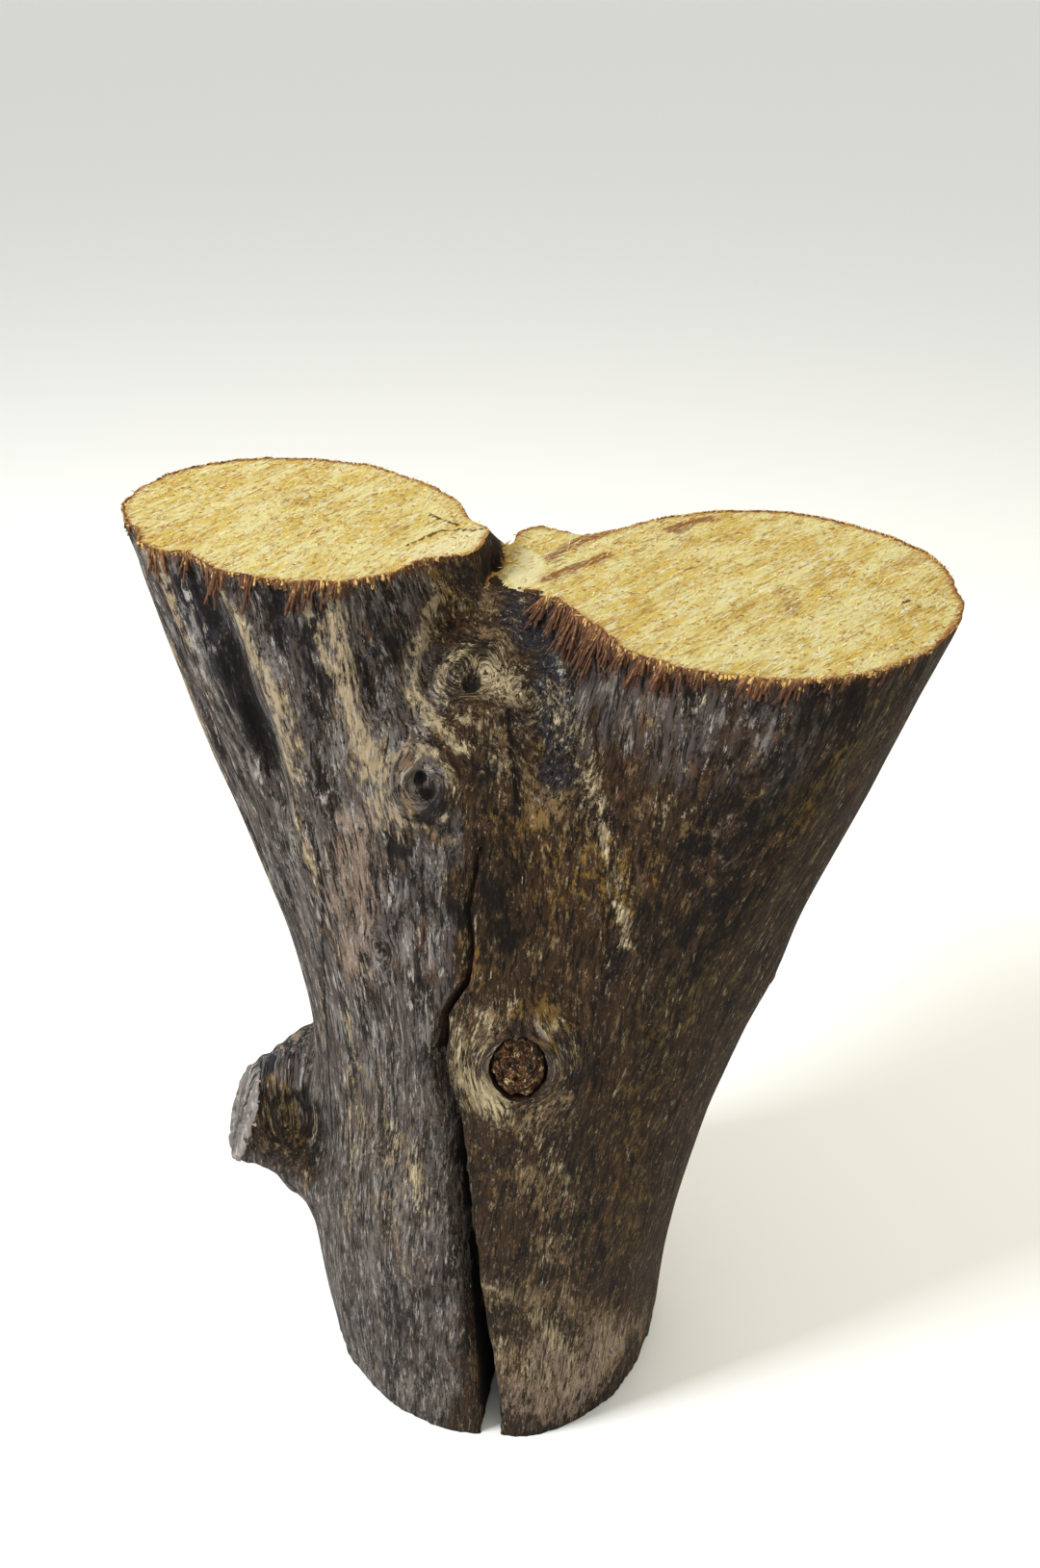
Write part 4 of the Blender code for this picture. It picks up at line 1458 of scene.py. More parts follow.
@dataclass
class LogBody:
    """The whole log but for its dead branch end and its torn fibres.

    marks holds the cells across and along, and the height, of the saw's marks, and drifts the cells and
    heights that make the edge of the grey uneven. mauve is where the grey of the left side goes on below the
    right rim, and stub_flank where the stub is brown. The bands say how far from its place a face of each
    kind may lie, and turned how much of its normal must go the right way. cool_rim, cool_knot and warm_stub
    are each a reach and a share.
    """

    grain: Grain
    crack: Crack
    knot: DeadKnot
    doubles: float = 0.01
    voxel: float = 1.7
    triangles: int = 186_000
    rounds: int = 34
    snap: float = 0.9
    rim_round: float = 8
    saw_drop: float = 0.9
    marks: Noises = ((5.5, 90, 0.42), (2.4, 22, 0.2))
    mark_height: float = 60
    lip_round: float = 0.8
    lip_reach: float = 4.0
    stub_freedom: float = 0.25
    stub_roughness: float = 0.7
    stub_cell: float = 5
    stub_sunk: float = 0.6
    stub_splits: float = 4
    split_fade: tuple[float, float] = (0.25, 0.5)
    stub_split: float = 1.4
    end_spread: float = 12
    sharp: float = 52
    overlap: float = 1
    top_upright: float = -0.5
    level_reach: float = 3
    end_reach: float = 1.2
    end_facing: float = 0.1
    top_band: float = 1.4
    top_turned: float = 0.72
    foot_band: float = 0.4
    foot_turned: float = 0.8
    end_band: float = 3.4
    end_turned: float = 0.55
    wall_mouth: float = 1.0
    wall_sheer: float = 0.62
    wall_inside: float = 4
    pocket_band: tuple[float, float] = (-10, -1.2)
    pocket_slack: float = 1.4
    between_faces: tuple[float, float] = (1, 485)
    skin_upright: float = 0.75
    rim_reach: float = 5
    hollow_fade: tuple[float, float] = (0.6, 2.8)
    ridge_fade: tuple[float, float] = (0.3, 1.5)
    deep_fade: tuple[float, float] = (0, 26)
    front_fade: tuple[float, float] = (-60, 10)
    fray: float = 3
    fray_more: float = 6
    frayed_reach: float = 40
    check_width: float = 1.2
    stroke_spread: float = 1.3
    stroke_breaks: float = 0.45
    stroke_cell: float = 9
    lip_paleness: float = 0.4
    lip_pale_reach: float = 3.5
    drifts: tuple[tuple[float, float], ...] = ((45, 12), (16, 6))
    warm_slope: float = 0.25
    warm_above: float = 400
    warm_side: tuple[float, float] = (-8, 16)
    cool_back: float = 0.6
    back_fade: tuple[float, float] = (40, 100)
    cool_rim: tuple[float, float] = (34, 0.85)
    cool_knot: tuple[float, float] = (32, 0.8)
    warm_stub: tuple[float, float] = (18, 0.9)
    stub_flank: Path = ((-130, -46, 186), (-112, -54, 176), (-106, -54, 162))
    mauve: Path = ((44, -10, 476), (77, -34, 474), (112, -39, 473), (137, -34, 470))
    frayed: Point = (34, -12, 495)

    def on_stub_end(self, points: Array, normals: Array, band: float, turned: float) -> Array:
        """Tells which points are on the stub's end.

        Args:
            points: Points in millimetres.
            normals: The way that the surface faces at each.
            band: How far from the end's plane a point may lie.
            turned: How much of its normal must go the end's way.

        Returns:
            Whether each point is on the end.
        """
        near = np.linalg.norm(points - np.array(STUB_FACE.place), axis=1) < STUB_END_REACH
        return near & (np.abs(STUB_FACE.height(points)) < band) & (normals @ STUB_FACE.normal > turned)

    def top_masks(self, points: Array, normals: Array, reach: float) -> tuple[Array, Array]:
        """Tells which points are on the sawn tops.

        Args:
            points: Points in millimetres.
            normals: The way that the surface faces at each.
            reach: How far from a top's plane a point may lie.

        Returns:
            Whether each point is on the left top, and on the right one.
        """
        heading = np.array([math.cos(CROTCH_HEADING), math.sin(CROTCH_HEADING)])
        side = (points[:, :2] - np.array(CROTCH)) @ heading
        up = normals[:, 2] > self.top_upright
        left = (np.abs(LEFT_FACE.height(points)) < reach) & (side < self.overlap) & up
        right = (np.abs(RIGHT_FACE.height(points)) < reach) & (side > -self.overlap) & up
        return left, right

    def copied(self) -> bpy.types.Object:
        """Copies the solid.

        Returns:
            The copy, its doubles merged and its faces even.
        """
        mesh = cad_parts[NODE].data.copy()
        mesh.materials.clear()
        shape = bmesh.new()
        shape.from_mesh(mesh)
        bmesh.ops.remove_doubles(shape, verts=shape.verts, dist=self.doubles * MM)
        shape.to_mesh(mesh)
        shape.free()
        body = linked("log_body", mesh)
        remesh = body.modifiers.new("even", "REMESH")
        remesh.mode = "VOXEL"
        remesh.voxel_size = self.voxel * MM
        apply_modifiers(body)
        return body

    def from_rim(self, points: Array, edges: Array, flat: Array) -> Array:
        """Measures how far in from its rim each point of a flat face lies.

        Args:
            points: Points in millimetres.
            edges: Which points are neighbours.
            flat: Whether each point is on a flat face.

        Returns:
            The distance, 0 for a point that isn't on one.
        """
        crossing = flat[edges].any(axis=1) & ~flat[edges].all(axis=1)
        rim = nearest_tree(points, np.unique(edges[crossing]))
        inner = np.zeros(len(points))
        for number in np.flatnonzero(flat):
            inner[number] = rim.find(points[number])[2]
        return inner

    def sawn(self, face: SawFace, points: Array) -> Array:
        """Flattens a sawn top and gives it the saw's marks.

        Args:
            face: The sawn face.
            points: Its points.

        Returns:
            The points, moved.
        """
        flat = points - face.height(points)[:, None] * face.normal
        where = face.coordinates(flat)
        drop = np.full(len(flat), self.saw_drop)
        for number, (across, along, amount) in enumerate(self.marks):
            drop += amount * soft_noise(where / (across, self.mark_height, along), Seed.SAW_MARKS + number)
        flat[:, 2] -= drop
        return flat

    def broken(self, points: Array) -> Array:
        """Gives the stub's end its splits from the pith outwards.

        Args:
            points: The end's points.

        Returns:
            The points, moved.
        """
        around = points - np.array(STUB_FACE.place)
        way = unit(around - STUB_FACE.height(points)[:, None] * STUB_FACE.normal)
        rough = self.stub_roughness * soft_noise(points / self.stub_cell, Seed.STUB_END)
        split = smooth_step(soft_noise(way * self.stub_splits, Seed.STUB_END + 1), *self.split_fade)
        return points + STUB_FACE.normal * (rough - self.stub_split * split - self.stub_sunk)[:, None]

    def sculpted(self, body: bpy.types.Object) -> None:
        """Smooths the skin, flattens the sawn faces, and gives both their relief.

        Args:
            body: The copied log.
        """
        mesh = body.data
        points, normals, edges = read_points(mesh), read_normals(mesh), read_edges(mesh)
        reach = self.snap * self.voxel
        tops = self.top_masks(points, normals, reach)
        foot = points[:, 2] < reach
        stub = self.on_stub_end(points, normals, self.end_reach * self.voxel, self.end_facing)
        flat = tops[0] | tops[1] | foot
        free = np.where(flat, 0.0, np.where(stub, self.stub_freedom, 1.0))
        points = relaxed(points, edges, free, self.rounds)
        inner = self.from_rim(points, edges, flat)
        height = Relief(self.grain).height(points)
        height -= self.lip_round * bell(self.crack.lip_distance(points), self.lip_reach)
        away, _ = self.grain.outward(points)
        below = np.minimum(np.abs(LEFT_FACE.height(points)), np.abs(RIGHT_FACE.height(points)))
        level = flat | (below < self.level_reach)
        direction = np.where(level[:, None], away, normals)
        share = np.where(flat, 1 - smooth_step(inner, 0, self.rim_round), 1.0) * np.where(stub, 0, 1)
        points = points + direction * (height * share)[:, None]
        for face, mask in zip((LEFT_FACE, RIGHT_FACE), tops):
            points[mask] = self.sawn(face, points[mask])
        points[foot, 2] = 0
        points[stub] = self.broken(points[stub])
        write_points(mesh, points)

    def build(self) -> bpy.types.Object:
        """Builds the log's body with its finishes.

        Returns:
            The body as one closed mesh.
        """
        body = self.copied()
        self.sculpted(body)
        take_out(body, self.crack.cutter())
        take_out(body, self.knot.pocket())
        body.data.calc_loop_triangles()
        thin = body.modifiers.new("thin", "DECIMATE")
        thin.ratio = min(1.0, self.triangles / len(body.data.loop_triangles))
        apply_modifiers(body)
        write_points(body.data, kept_inside(read_points(body.data)))
        self.store_charts(body.data)
        self.store_relief(body.data)
        self.store_tones(body.data)
        self.store_warmth(body.data)
        body.data.materials.clear()
        for finish in (WEATHERED_WOOD, SAWN_WOOD, OLD_SAWN_WOOD, WEATHERED_END, CRACK_WALL):
            body.data.materials.append(finish.made())
        self.choose_faces(body.data)
        body.data.shade_smooth()
        body.data.set_sharp_from_angle(angle=math.radians(self.sharp))
        return body

    def choose_faces(self, mesh: bpy.types.Mesh) -> None:
        """Gives each face its finish, by where it is and which way it faces.

        Args:
            mesh: The log's mesh.
        """
        count = len(mesh.polygons)
        flat = np.empty(count * 3, np.float32)
        mesh.polygons.foreach_get("center", flat)
        centres = flat.reshape(-1, 3).astype(float) / MM
        mesh.polygons.foreach_get("normal", flat)
        normals = flat.reshape(-1, 3).astype(float)
        kinds = np.full(count, Face.SKIN.value)
        for face in (LEFT_FACE, RIGHT_FACE):
            on_top = np.abs(face.height(centres) + self.saw_drop) < self.top_band
            kinds[on_top & (normals[:, 2] > self.top_turned)] = Face.SAWN.value
        kinds[(centres[:, 2] < self.foot_band) & (normals[:, 2] < -self.foot_turned)] = Face.FOOT.value
        kinds[self.on_stub_end(centres, normals, self.end_band, self.end_turned)] = Face.STUB_END.value
        deep = self.crack.wall_depth(centres)
        _, _, across, _, _ = self.crack.frame_at(centres[:, 2])
        sheer = np.abs(dots(normals, across)) > self.wall_sheer
        kinds[(deep > self.wall_mouth) & sheer | (deep > self.wall_inside)] = Face.WALL.value
        local = self.knot.local(centres)
        low, high = self.pocket_band
        reach = self.knot.radius + self.knot.gap + self.pocket_slack
        near_knot = np.linalg.norm(local[:, :2], axis=1) < reach
        kinds[near_knot & (local[:, 2] > low) & (local[:, 2] < high)] = Face.WALL.value
        mesh.polygons.foreach_set("material_index", kinds.astype(np.int32))

    def store_charts(self, mesh: bpy.types.Mesh) -> None:
        """Keeps on the mesh the coordinates of the grain, of the saw's sweep and of the stub's end.

        Args:
            mesh: The log's mesh.
        """
        points = read_points(mesh)
        store(mesh, Chart.GRAIN, self.grain.coordinates(points))
        left = points[:, 0] < CROTCH[0]
        sawn = np.where(left[:, None], LEFT_FACE.coordinates(points), RIGHT_FACE.coordinates(points))
        store(mesh, Chart.SAW, sawn)
        gap = points - np.array(STUB_FACE.place)
        gap -= (gap @ STUB_FACE.normal)[:, None] * STUB_FACE.normal
        radius = np.linalg.norm(gap, axis=1)
        store(mesh, Chart.RADIAL, unit(gap) * self.end_spread + np.outer(radius, (0, 0, 1)))

    def store_relief(self, mesh: bpy.types.Mesh) -> None:
        """Keeps on the mesh where it is hollow and deep in the crack, for painted shade, and where it is
        ridged, torn, split and near a rim.

        Args:
            mesh: The log's mesh.
        """
        points = read_points(mesh)
        height = Relief(self.grain).height(points)
        store(mesh, Mask.HOLLOW, smooth_step(-height, *self.hollow_fade))
        store(mesh, Mask.RIDGE, smooth_step(height, *self.ridge_fade))
        left = points[:, 0] < CROTCH[0]
        below = np.where(left, -LEFT_FACE.height(points), -RIGHT_FACE.height(points))
        near = bell(np.linalg.norm(points - self.frayed, axis=1), self.frayed_reach)
        front = smooth_step(-points[:, 1], *self.front_fade)
        store(mesh, Mask.FRAY, np.exp(-np.maximum(below, 0) / (self.fray + self.fray_more * near)) * front)
        store(mesh, Mask.DEEP, smooth_step(self.crack.wall_depth(points), *self.deep_fade))
        for mask, paths, squeeze in ((Mask.CHECK, CHECKS, (1, 0.25, 1)), (Mask.SPLIT, SPLITS, (1, 1, 0))):
            found = [path_distance(points * squeeze, np.array(path) * squeeze) for path in paths]
            store(mesh, mask, bell(np.min(found, axis=0), self.check_width))
        store(mesh, Mask.RIM, self.rim_nearness(mesh, points))

    def store_tones(self, mesh: bpy.types.Mesh) -> None:
        """Keeps on the mesh where each tone of the strokes shows.

        Args:
            mesh: The log's mesh.
        """
        points = read_points(mesh)
        broken = 1 + self.stroke_breaks * soft_noise(points / self.stroke_cell, Seed.STROKES)
        tones = {stroke.tone: np.zeros(len(points)) for stroke in STROKES}
        for stroke in STROKES:
            shown = broken * stroke.shown(points, self.stroke_spread)
            tones[stroke.tone] = np.maximum(tones[stroke.tone], shown)
        lip = self.lip_paleness * bell(self.crack.lip_distance(points), self.lip_pale_reach)
        tones[Mask.PALE] = np.maximum(tones[Mask.PALE], lip)
        for mask, strokes in ((Mask.STAIN, STAINS), (Mask.TONGUE, TONGUES)):
            tones[mask] = np.max([stroke.shown(points) for stroke in strokes], axis=0)
        for mask, values in tones.items():
            store(mesh, mask, values)

    def store_warmth(self, mesh: bpy.types.Mesh) -> None:
        """Keeps on the mesh where it is grey: on the left, the back, the right rim and round the knot.

        Args:
            mesh: The log's mesh.
        """
        points = read_points(mesh)
        drift = sum(
            height * soft_noise(points / cell, Seed.DRIFT + number)
            for number, (cell, height) in enumerate(self.drifts)
        )
        high = self.warm_slope * np.maximum(points[:, 2] - self.warm_above, 0)
        warm = smooth_step(points[:, 0] + drift + high, *self.warm_side)
        warm *= 1 - self.cool_back * smooth_step(points[:, 1] + drift, *self.back_fade)
        for path, reach, share in ((self.mauve, *self.cool_rim), ((self.knot.place,), *self.cool_knot)):
            warm *= 1 - share * bell(path_distance(points, path), reach)
        reach, share = self.warm_stub
        warm = np.maximum(warm, share * bell(path_distance(points, self.stub_flank), reach))
        store(mesh, Mask.COOL, 1 - warm)

    def rim_nearness(self, mesh: bpy.types.Mesh, points: Array) -> Array:
        """Measures how near the rims of the sawn faces are.

        Args:
            mesh: The log's mesh.
            points: Its points in millimetres.

        Returns:
            From 0 away from the rims to 1 on one.
        """
        normals = read_normals(mesh)
        low, high = self.between_faces
        ends = (points[:, 2] > high) | (points[:, 2] < low)
        rim = nearest_tree(points, np.flatnonzero(ends & (np.abs(normals[:, 2]) < self.skin_upright)))
        near = np.zeros(len(points))
        for number in np.flatnonzero(ends):
            near[number] = math.exp(-rim.find(points[number])[2] / self.rim_reach)
        return near


@dataclass(frozen=True)
class Fringe:
    """Torn fibres that hang from the rim of a sawn top, by angle round its centre in degrees."""

    centre: tuple[float, float]
    angles: tuple[float, ...]
    lengths: tuple[float, ...]
    count: int


@dataclass
class TornFibres:
    """Slivers on the rims and on the sawn tops, made by one tree of Geometry Nodes.

    Real fibres are a third as wide. These are wider, so that they show, and fewer. The clump values make
    those of one tuft long or short together, and lean alike.
    """

    fringes: tuple[Fringe, ...] = (
        Fringe((-121, 38), (-180, -125, -60, -10, 30, 60, 180), (2, 5, 10, 14, 13, 6, 2), 1700),
        Fringe(
            (108, 61), (-180, -90, -72, -50, -30, -5, 40, 110, 180), (2, 4, 13, 20, 18, 12, 8, 4, 2), 3200
        ),
    )
    seed: int = 17
    width: float = 1.25
    flatness: float = 0.4
    clump: float = 3.2
    clump_least: float = 0.25
    clump_middle: float = 0.8
    clump_swing: float = 1.3
    clump_lean: float = 0.5
    least_chance: float = 0.2
    sure_length: float = 10
    shortest: float = 0.2
    shortness: float = 2.5
    lift: tuple[float, float] = (-0.06, 0.14)
    scatter: float = 0.17
    rooted: float = 0.5
    root_depth: tuple[float, float] = (-0.1, 0.6)
    fresh_length: float = 9
    clear_of_crotch: float = 42
    widest: float = 199
    front_normal: float = -0.35
    drift_reach: float = 900
    cut_width: float = 0.34
    cut_flatness: float = 0.6
    cut_bend: float = 1.5
    cut_count: int = 4200
    cut_lengths: tuple[float, float] = (1.2, 3.6)
    cut_rise: tuple[float, float] = (0.05, 0.35)
    cut_scatter: float = 16
    cut_sunk: float = 0.15
    steps: int = 4
    sides: int = 4
    tip: float = 0.12
    spread: tuple[float, float] = (0.5, 1.6)

    def tree(self) -> bpy.types.NodeTree:
        """Builds the node tree that sets a sliver on each point.

        Returns:
            The tree, with Width, Flatness, Bend, Seed and Material as inputs.
        """
        tree = bpy.data.node_groups.new("torn_fibres", "GeometryNodeTree")
        face = tree.interface
        face.new_socket("Geometry", in_out="INPUT", socket_type="NodeSocketGeometry")
        for name, kind in (
            ("Width", "NodeSocketFloat"), ("Flatness", "NodeSocketFloat"), ("Bend", "NodeSocketFloat"),
            ("Seed", "NodeSocketInt"), ("Material", "NodeSocketMaterial"),
        ):
            face.new_socket(name, in_out="INPUT", socket_type=kind)
        face.new_socket("Geometry", in_out="OUTPUT", socket_type="NodeSocketGeometry")
        given = add_node(tree, "NodeGroupInput")
        placed = add_node(
            tree, "GeometryNodeInstanceOnPoints",
            {
                "Points": given.outputs["Geometry"],
                "Instance": self.sliver(tree, given),
                "Rotation": self.turned(tree),
                "Scale": self.sized(tree, given),
            },
        )
        real = add_node(tree, "GeometryNodeRealizeInstances", {"Geometry": placed.outputs[0]})
        smooth = add_node(tree, "GeometryNodeSetShadeSmooth", {"Geometry": real.outputs[0]})
        painted = add_node(
            tree, "GeometryNodeSetMaterial",
            {"Geometry": smooth.outputs[0], "Material": given.outputs["Material"]},
        )
        add_node(tree, "NodeGroupOutput", {"Geometry": painted.outputs[0]})
        return tree

    def sliver(self, tree: bpy.types.NodeTree, given: bpy.types.Node) -> bpy.types.NodeSocket:
        """Adds the nodes of one sliver, 1 long and 1 wide, tapered and bent.

        Args:
            tree: The tree.
            given: The tree's inputs.

        Returns:
            The sliver's mesh.
        """
        line = add_node(tree, "GeometryNodeCurvePrimitiveLine", {"End": (0, 0, 1)})
        spaced = add_node(tree, "GeometryNodeResampleCurve", {"Curve": line.outputs[0], "Count": self.steps})
        factor = add_node(tree, "GeometryNodeSplineParameter").outputs["Factor"]
        square = add_node(tree, "ShaderNodeMath", {0: factor, 1: factor}, operation="MULTIPLY")
        bend = add_node(
            tree, "ShaderNodeMath", {0: square.outputs[0], 1: given.outputs["Bend"]}, operation="MULTIPLY"
        )
        offset = add_node(tree, "ShaderNodeCombineXYZ", {"Y": bend.outputs[0]})
        curved = add_node(
            tree, "GeometryNodeSetPosition", {"Geometry": spaced.outputs[0], "Offset": offset.outputs[0]}
        )
        kept = add_node(
            tree, "GeometryNodeStoreNamedAttribute",
            {"Geometry": curved.outputs[0], "Name": Mask.ALONG, "Value": factor},
            data_type="FLOAT",
            domain="POINT",
        )
        taper = add_node(tree, "ShaderNodeMapRange", {"Value": factor, "To Min": 1.0, "To Max": self.tip})
        thinned = add_node(
            tree, "GeometryNodeSetCurveRadius", {"Curve": kept.outputs[0], "Radius": taper.outputs[0]}
        )
        profile = add_node(
            tree, "GeometryNodeCurvePrimitiveCircle", {"Resolution": self.sides, "Radius": 0.5}
        )
        return add_node(
            tree, "GeometryNodeCurveToMesh",
            {"Curve": thinned.outputs[0], "Profile Curve": profile.outputs[0], "Fill Caps": True},
        ).outputs[0]

    def turned(self, tree: bpy.types.NodeTree) -> bpy.types.NodeSocket:
        """Adds the nodes that turn each sliver along its heading, its flat side out.

        Args:
            tree: The tree.

        Returns:
            The rotation.
        """
        heading, out = (
            add_node(tree, "GeometryNodeInputNamedAttribute", {"Name": name}, data_type="FLOAT_VECTOR")
            for name in ("heading", "out")
        )
        aimed = add_node(tree, "FunctionNodeAlignRotationToVector", {"Vector": heading.outputs[0]}, axis="Z")
        return add_node(
            tree, "FunctionNodeAlignRotationToVector",
            {"Rotation": aimed.outputs[0], "Vector": out.outputs[0]},
            axis="Y",
            pivot_axis="Z",
        ).outputs[0]

    def sized(self, tree: bpy.types.NodeTree, given: bpy.types.Node) -> bpy.types.NodeSocket:
        """Adds the nodes that give each sliver its width, thickness and length.

        Args:
            tree: The tree.
            given: The tree's inputs.

        Returns:
            The scale.
        """
        low, high = self.spread
        length = add_node(tree, "GeometryNodeInputNamedAttribute", {"Name": "long"}, data_type="FLOAT")
        spread = add_node(
            tree, "FunctionNodeRandomValue", {2: low, 3: high, "Seed": given.outputs["Seed"]},
            data_type="FLOAT",
        )
        wide = add_node(
            tree, "ShaderNodeMath", {0: given.outputs["Width"], 1: spread.outputs[1]}, operation="MULTIPLY"
        )
        thick = add_node(
            tree, "ShaderNodeMath", {0: wide.outputs[0], 1: given.outputs["Flatness"]}, operation="MULTIPLY"
        )
        return add_node(
            tree, "ShaderNodeCombineXYZ",
            {"X": wide.outputs[0], "Y": thick.outputs[0], "Z": length.outputs[0]},
        ).outputs[0]

    def rim_points(self, body: bpy.types.Object) -> list[tuple[Vector, Vector, float]]:
        """Finds the rims of the sawn tops.

        Args:
            body: The log's body.

        Returns:
            The middle of each edge along them, the way out of the skin there, and the edge's length.
        """
        shape = bmesh.new()
        shape.from_mesh(body.data)
        found = []
        for edge in shape.edges:
            kinds = {face.material_index: face for face in edge.link_faces}
            if set(kinds) != {Face.SKIN.value, Face.SAWN.value}:
                continue
            middle = (edge.verts[0].co + edge.verts[1].co) / 2 / MM
            found.append((middle, kinds[Face.SKIN.value].normal.copy(), edge.calc_length() / MM))
        shape.free()
        return found

    def scattered(
        self, name: str, rows: list[tuple], material: bpy.types.Material, settings: dict[str, float]
    ) -> bpy.types.Object:
        """Sets slivers on points and turns them into a plain mesh.

        Args:
            name: The piece's name.
            rows: A place, a heading, a way out, a length, a shade and a freshness for each sliver.
            material: Their finish.
            settings: The tree's inputs by name.

        Returns:
            The slivers as one object.
        """
        places, headings, outs, lengths, shades, fresh = (np.array(column) for column in zip(*rows))
        mesh = bpy.data.meshes.new(name)
        mesh.from_pydata([tuple(place) for place in places * MM], [], [])
        store(mesh, "heading", headings)
        store(mesh, "out", outs)
        store(mesh, "long", lengths * MM)
        store(mesh, Mask.SHADE, shades)
        store(mesh, Mask.FRESH, fresh)
        made = linked(name, mesh)
        grow = made.modifiers.new("fibres", "NODES")
        grow.node_group = bpy.data.node_groups["torn_fibres"]
        values = {**settings, "Seed": self.seed, "Material": material}
        for item in grow.node_group.interface.items_tree:
            if item.in_out == "INPUT" and item.name in values:
                grow[item.identifier] = values[item.name]
        apply_modifiers(made)
        points = kept_inside(read_points(made.data))
        write_points(made.data, points)
        store(made.data, Chart.STRAND, points)
        return made

    def build(self, body: bpy.types.Object) -> list[bpy.types.Object]:
        """Builds the slivers on the rims and on the tops.

        Args:
            body: The log's body, which they grow from.

        Returns:
            The fibres of the rims and those of the tops.
        """
        self.tree()
        draw = random.Random(self.seed)
        rim = self.rim_points(body)
        log.info("rim edges: %d", len(rim))
        hanging = [row for fringe in self.fringes for row in self.fringe_rows(draw, fringe, rim)]
        rims = self.scattered(
            "rim_fibres", hanging, TORN_FIBRES.made(),
            {"Width": self.width * MM, "Flatness": self.flatness, "Bend": 0.0},
        )
        tops = self.scattered(
            "cut_fibres", self.standing(draw, body), CUT_FIBRES.made(),
            {"Width": self.cut_width * MM, "Flatness": self.cut_flatness, "Bend": self.cut_bend},
        )
        return [rims, tops]

    def fringe_rows(self, draw: random.Random, fringe: Fringe, rim: list[tuple]) -> list[tuple]:
        """Draws the slivers of one fringe, in clumps, most of them where they hang longest.

        Args:
            draw: The random draws.
            fringe: The fringe.
            rim: The rims' points.

        Returns:
            A row for each sliver.
        """
        side = [entry for entry in rim if entry[0].x * fringe.centre[0] > 0]
        weights = [entry[2] for entry in side]
        rows = []
        while len(rows) < fringe.count:
            place, normal, _ = draw.choices(side, weights)[0]
            if (place.xy - Vector(CROTCH)).length < self.clear_of_crotch or abs(place.x) > self.widest:
                continue
            angle = math.degrees(math.atan2(place.x - fringe.centre[0], fringe.centre[1] - place.y))
            length = float(np.interp(angle, fringe.angles, fringe.lengths))
            if draw.random() > self.least_chance + length / self.sure_length:
                continue
            clump = soft_noise(np.array([place]) / self.clump, self.seed)[0]
            share = self.shortest + (1 - self.shortest) * draw.random() ** self.shortness
            length *= share * max(self.clump_least, self.clump_middle + self.clump_swing * clump)
            rows.append(self.hanging(draw, place, normal, length, self.clump_lean * clump))
        return rows

    def hanging(
        self, draw: random.Random, place: Vector, normal: Vector, length: float, lean: float
    ) -> tuple:
        """Draws one sliver that hangs from the rim along the skin.

        Args:
            draw: The random draws.
            place: A point on the rim.
            normal: The way out of the skin there.
            length: The sliver's length.
            lean: How far it leans to a side.

        Returns:
            Its place, heading, way out, length, shade and freshness.
        """
        down = Vector((0, 0, -1))
        if normal.y < self.front_normal:
            drift = -place.x / self.drift_reach
            down = Vector((drift, (normal.z - drift * normal.x) / normal.y, -1))
        along = (down - normal * down.dot(normal)).normalized()
        sideways = along.cross(normal)
        lifted = normal * draw.uniform(*self.lift)
        heading = along + lifted + sideways * (lean + draw.gauss(0, self.scatter))
        root = place - along * self.rooted - normal * draw.uniform(*self.root_depth)
        shade = draw.random()
        fresh = draw.random() * math.exp(-length / self.fresh_length)
        return tuple(root), tuple(heading.normalized()), tuple(normal), length, shade, fresh

    def standing(self, draw: random.Random, body: bpy.types.Object) -> list[tuple]:
        """Draws slivers that lie along the saw's sweep on the tops.

        Args:
            draw: The random draws.
            body: The log's body.

        Returns:
            A row for each sliver.
        """
        mesh = body.data
        faces = [face for face in mesh.polygons if face.material_index == Face.SAWN.value]
        rows = []
        for face in draw.choices(faces, [face.area for face in faces], k=self.cut_count):
            first, second, third = (mesh.vertices[number].co for number in face.vertices[:3])
            low, high = sorted((draw.random(), draw.random()))
            place = first * low + second * (high - low) + third * (1 - high)
            sweep = LEFT_FACE.sweep if place.x < CROTCH[0] * MM else RIGHT_FACE.sweep
            turn = math.radians(sweep + draw.gauss(0, self.cut_scatter))
            sense = draw.choice((-1, 1))
            rise = draw.uniform(*self.cut_rise)
            heading = Vector((math.cos(turn) * sense, math.sin(turn) * sense, rise)).normalized()
            root = place / MM - Vector((0, 0, self.cut_sunk))
            length = draw.uniform(*self.cut_lengths)
            rows.append((tuple(root), tuple(heading), (0, 0, 1), length, draw.random(), draw.random()))
        return rows


# The floor, the lights and the camera


@dataclass(frozen=True)
class Lamp:
    """A soft light: where it is, in metres, what it points at, its size, power and colour."""

    name: str
    place: Point
    target: Point
    size: float
    power: float
    colour: str

    def build(self) -> None:
        """Builds the light and aims it."""
        light = bpy.data.lights.new(self.name, "AREA")
        light.size = self.size
        light.energy = self.power
        light.color = linear(self.colour)[:3]
        holder = linked(self.name, light)
        holder.location = self.place
        way = Vector(self.target) - Vector(self.place)
        holder.rotation_euler = way.to_track_quat("-Z", "Y").to_euler()


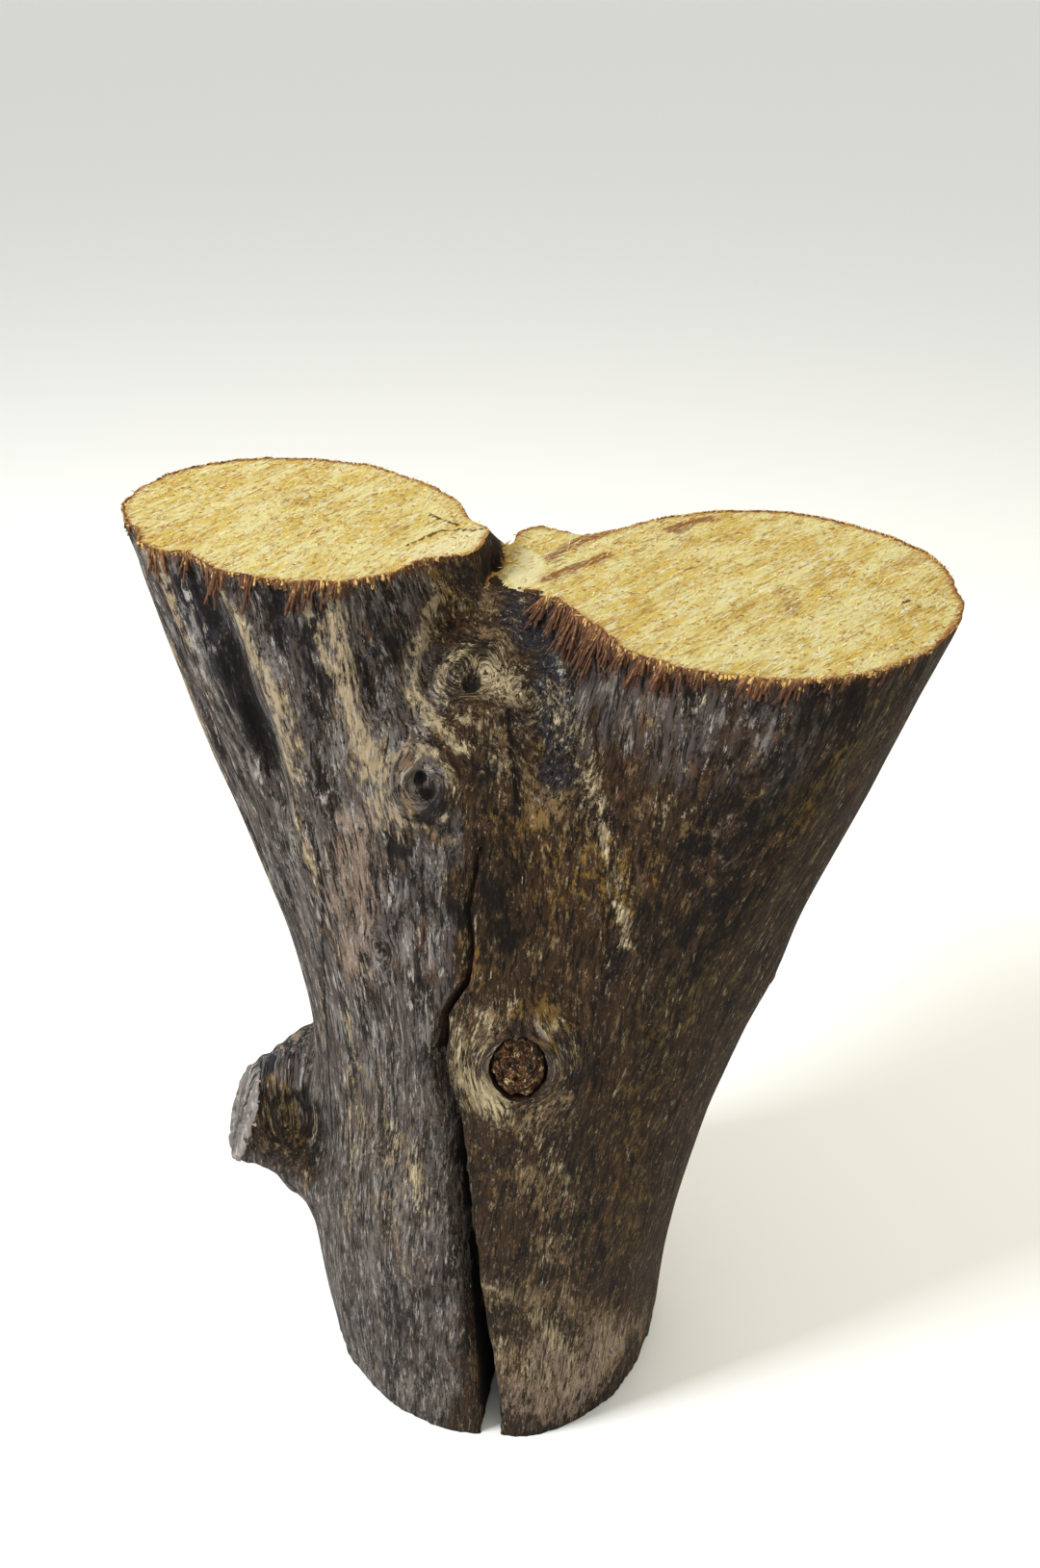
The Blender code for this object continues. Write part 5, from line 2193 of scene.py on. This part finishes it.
@dataclass(frozen=True)
class Studio:
    """A plain pale floor, soft lights and a camera at the photograph's angle."""

    floor_colour: str = "#f4f4f0"
    floor_roughness: float = 0.6
    floor_radius: float = 14
    floor_sides: int = 96
    sky_colour: str = "#f2f3ef"
    sky_strength: float = 0.83
    lamps: tuple[Lamp, ...] = (
        Lamp("key_light", (-1.2, -0.9, 1.6), (0, 0, 0.35), 0.5, 50, "#f6f9ff"),
        Lamp("side_light", (1.5, -1.1, 0.9), (0, 0, 0.3), 1.0, 2.5, "#ffe6c0"),
        Lamp("top_light", (0.3, 0.8, 1.7), (0, 0.05, 0.4), 0.8, 9, "#fff2d8"),
    )
    camera_place: Point = (0.1916, -0.5835, 0.786)
    camera_facing: Point = (-0.248, 0.811, -0.530)
    lens: float = 33.15

    def build(self) -> None:
        """Builds the floor, the lights, the sky and the camera."""
        self.build_floor()
        for lamp in self.lamps:
            lamp.build()
        self.build_sky()
        self.build_camera()

    def build_floor(self) -> None:
        """Builds the floor."""
        bpy.ops.mesh.primitive_circle_add(
            vertices=self.floor_sides, radius=self.floor_radius, fill_type="NGON"
        )
        floor = bpy.context.object
        floor.name = "floor"
        # Matt paint, rolled on: pale and even, with no reflection of the log.
        material = bpy.data.materials.new("matt_floor")
        material.use_nodes = True
        shader = material.node_tree.nodes["Principled BSDF"]
        shader.inputs["Base Color"].default_value = linear(self.floor_colour)
        shader.inputs["Roughness"].default_value = self.floor_roughness
        floor.data.materials.append(material)

    def build_sky(self) -> None:
        """Builds the even light from all sides."""
        world = bpy.data.worlds.new("studio")
        world.use_nodes = True
        sky = world.node_tree.nodes["Background"]
        sky.inputs["Color"].default_value = linear(self.sky_colour)
        sky.inputs["Strength"].default_value = self.sky_strength
        bpy.context.scene.world = world
        bpy.context.scene.view_settings.view_transform = "Standard"

    def build_camera(self) -> None:
        """Builds the camera, its lens and place fitted to the photograph's perspective."""
        data = bpy.data.cameras.new("camera")
        data.lens = self.lens
        camera = linked("camera", data)
        camera.location = self.camera_place
        camera.rotation_euler = Vector(self.camera_facing).to_track_quat("-Z", "Y").to_euler()
        bpy.context.scene.camera = camera


def main() -> None:
    """Builds the log, its fibres and the studio."""
    logging.basicConfig(level=logging.INFO, format="%(name)s: %(message)s")
    grain = Grain(LEFT_STEM, RIGHT_STEM, KNOTS)
    crack = Crack(grain)
    knot = DeadKnot()
    body = LogBody(grain, crack, knot).build()
    pieces = [body, knot.build(), *TornFibres().build(body)]
    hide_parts(NODE)
    for piece in pieces:
        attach(piece, BODY)
        piece.data.calc_loop_triangles()
        log.info("%s: %d triangles", piece.name, len(piece.data.loop_triangles))
    Studio().build()


if __name__ == "__main__":
    main()
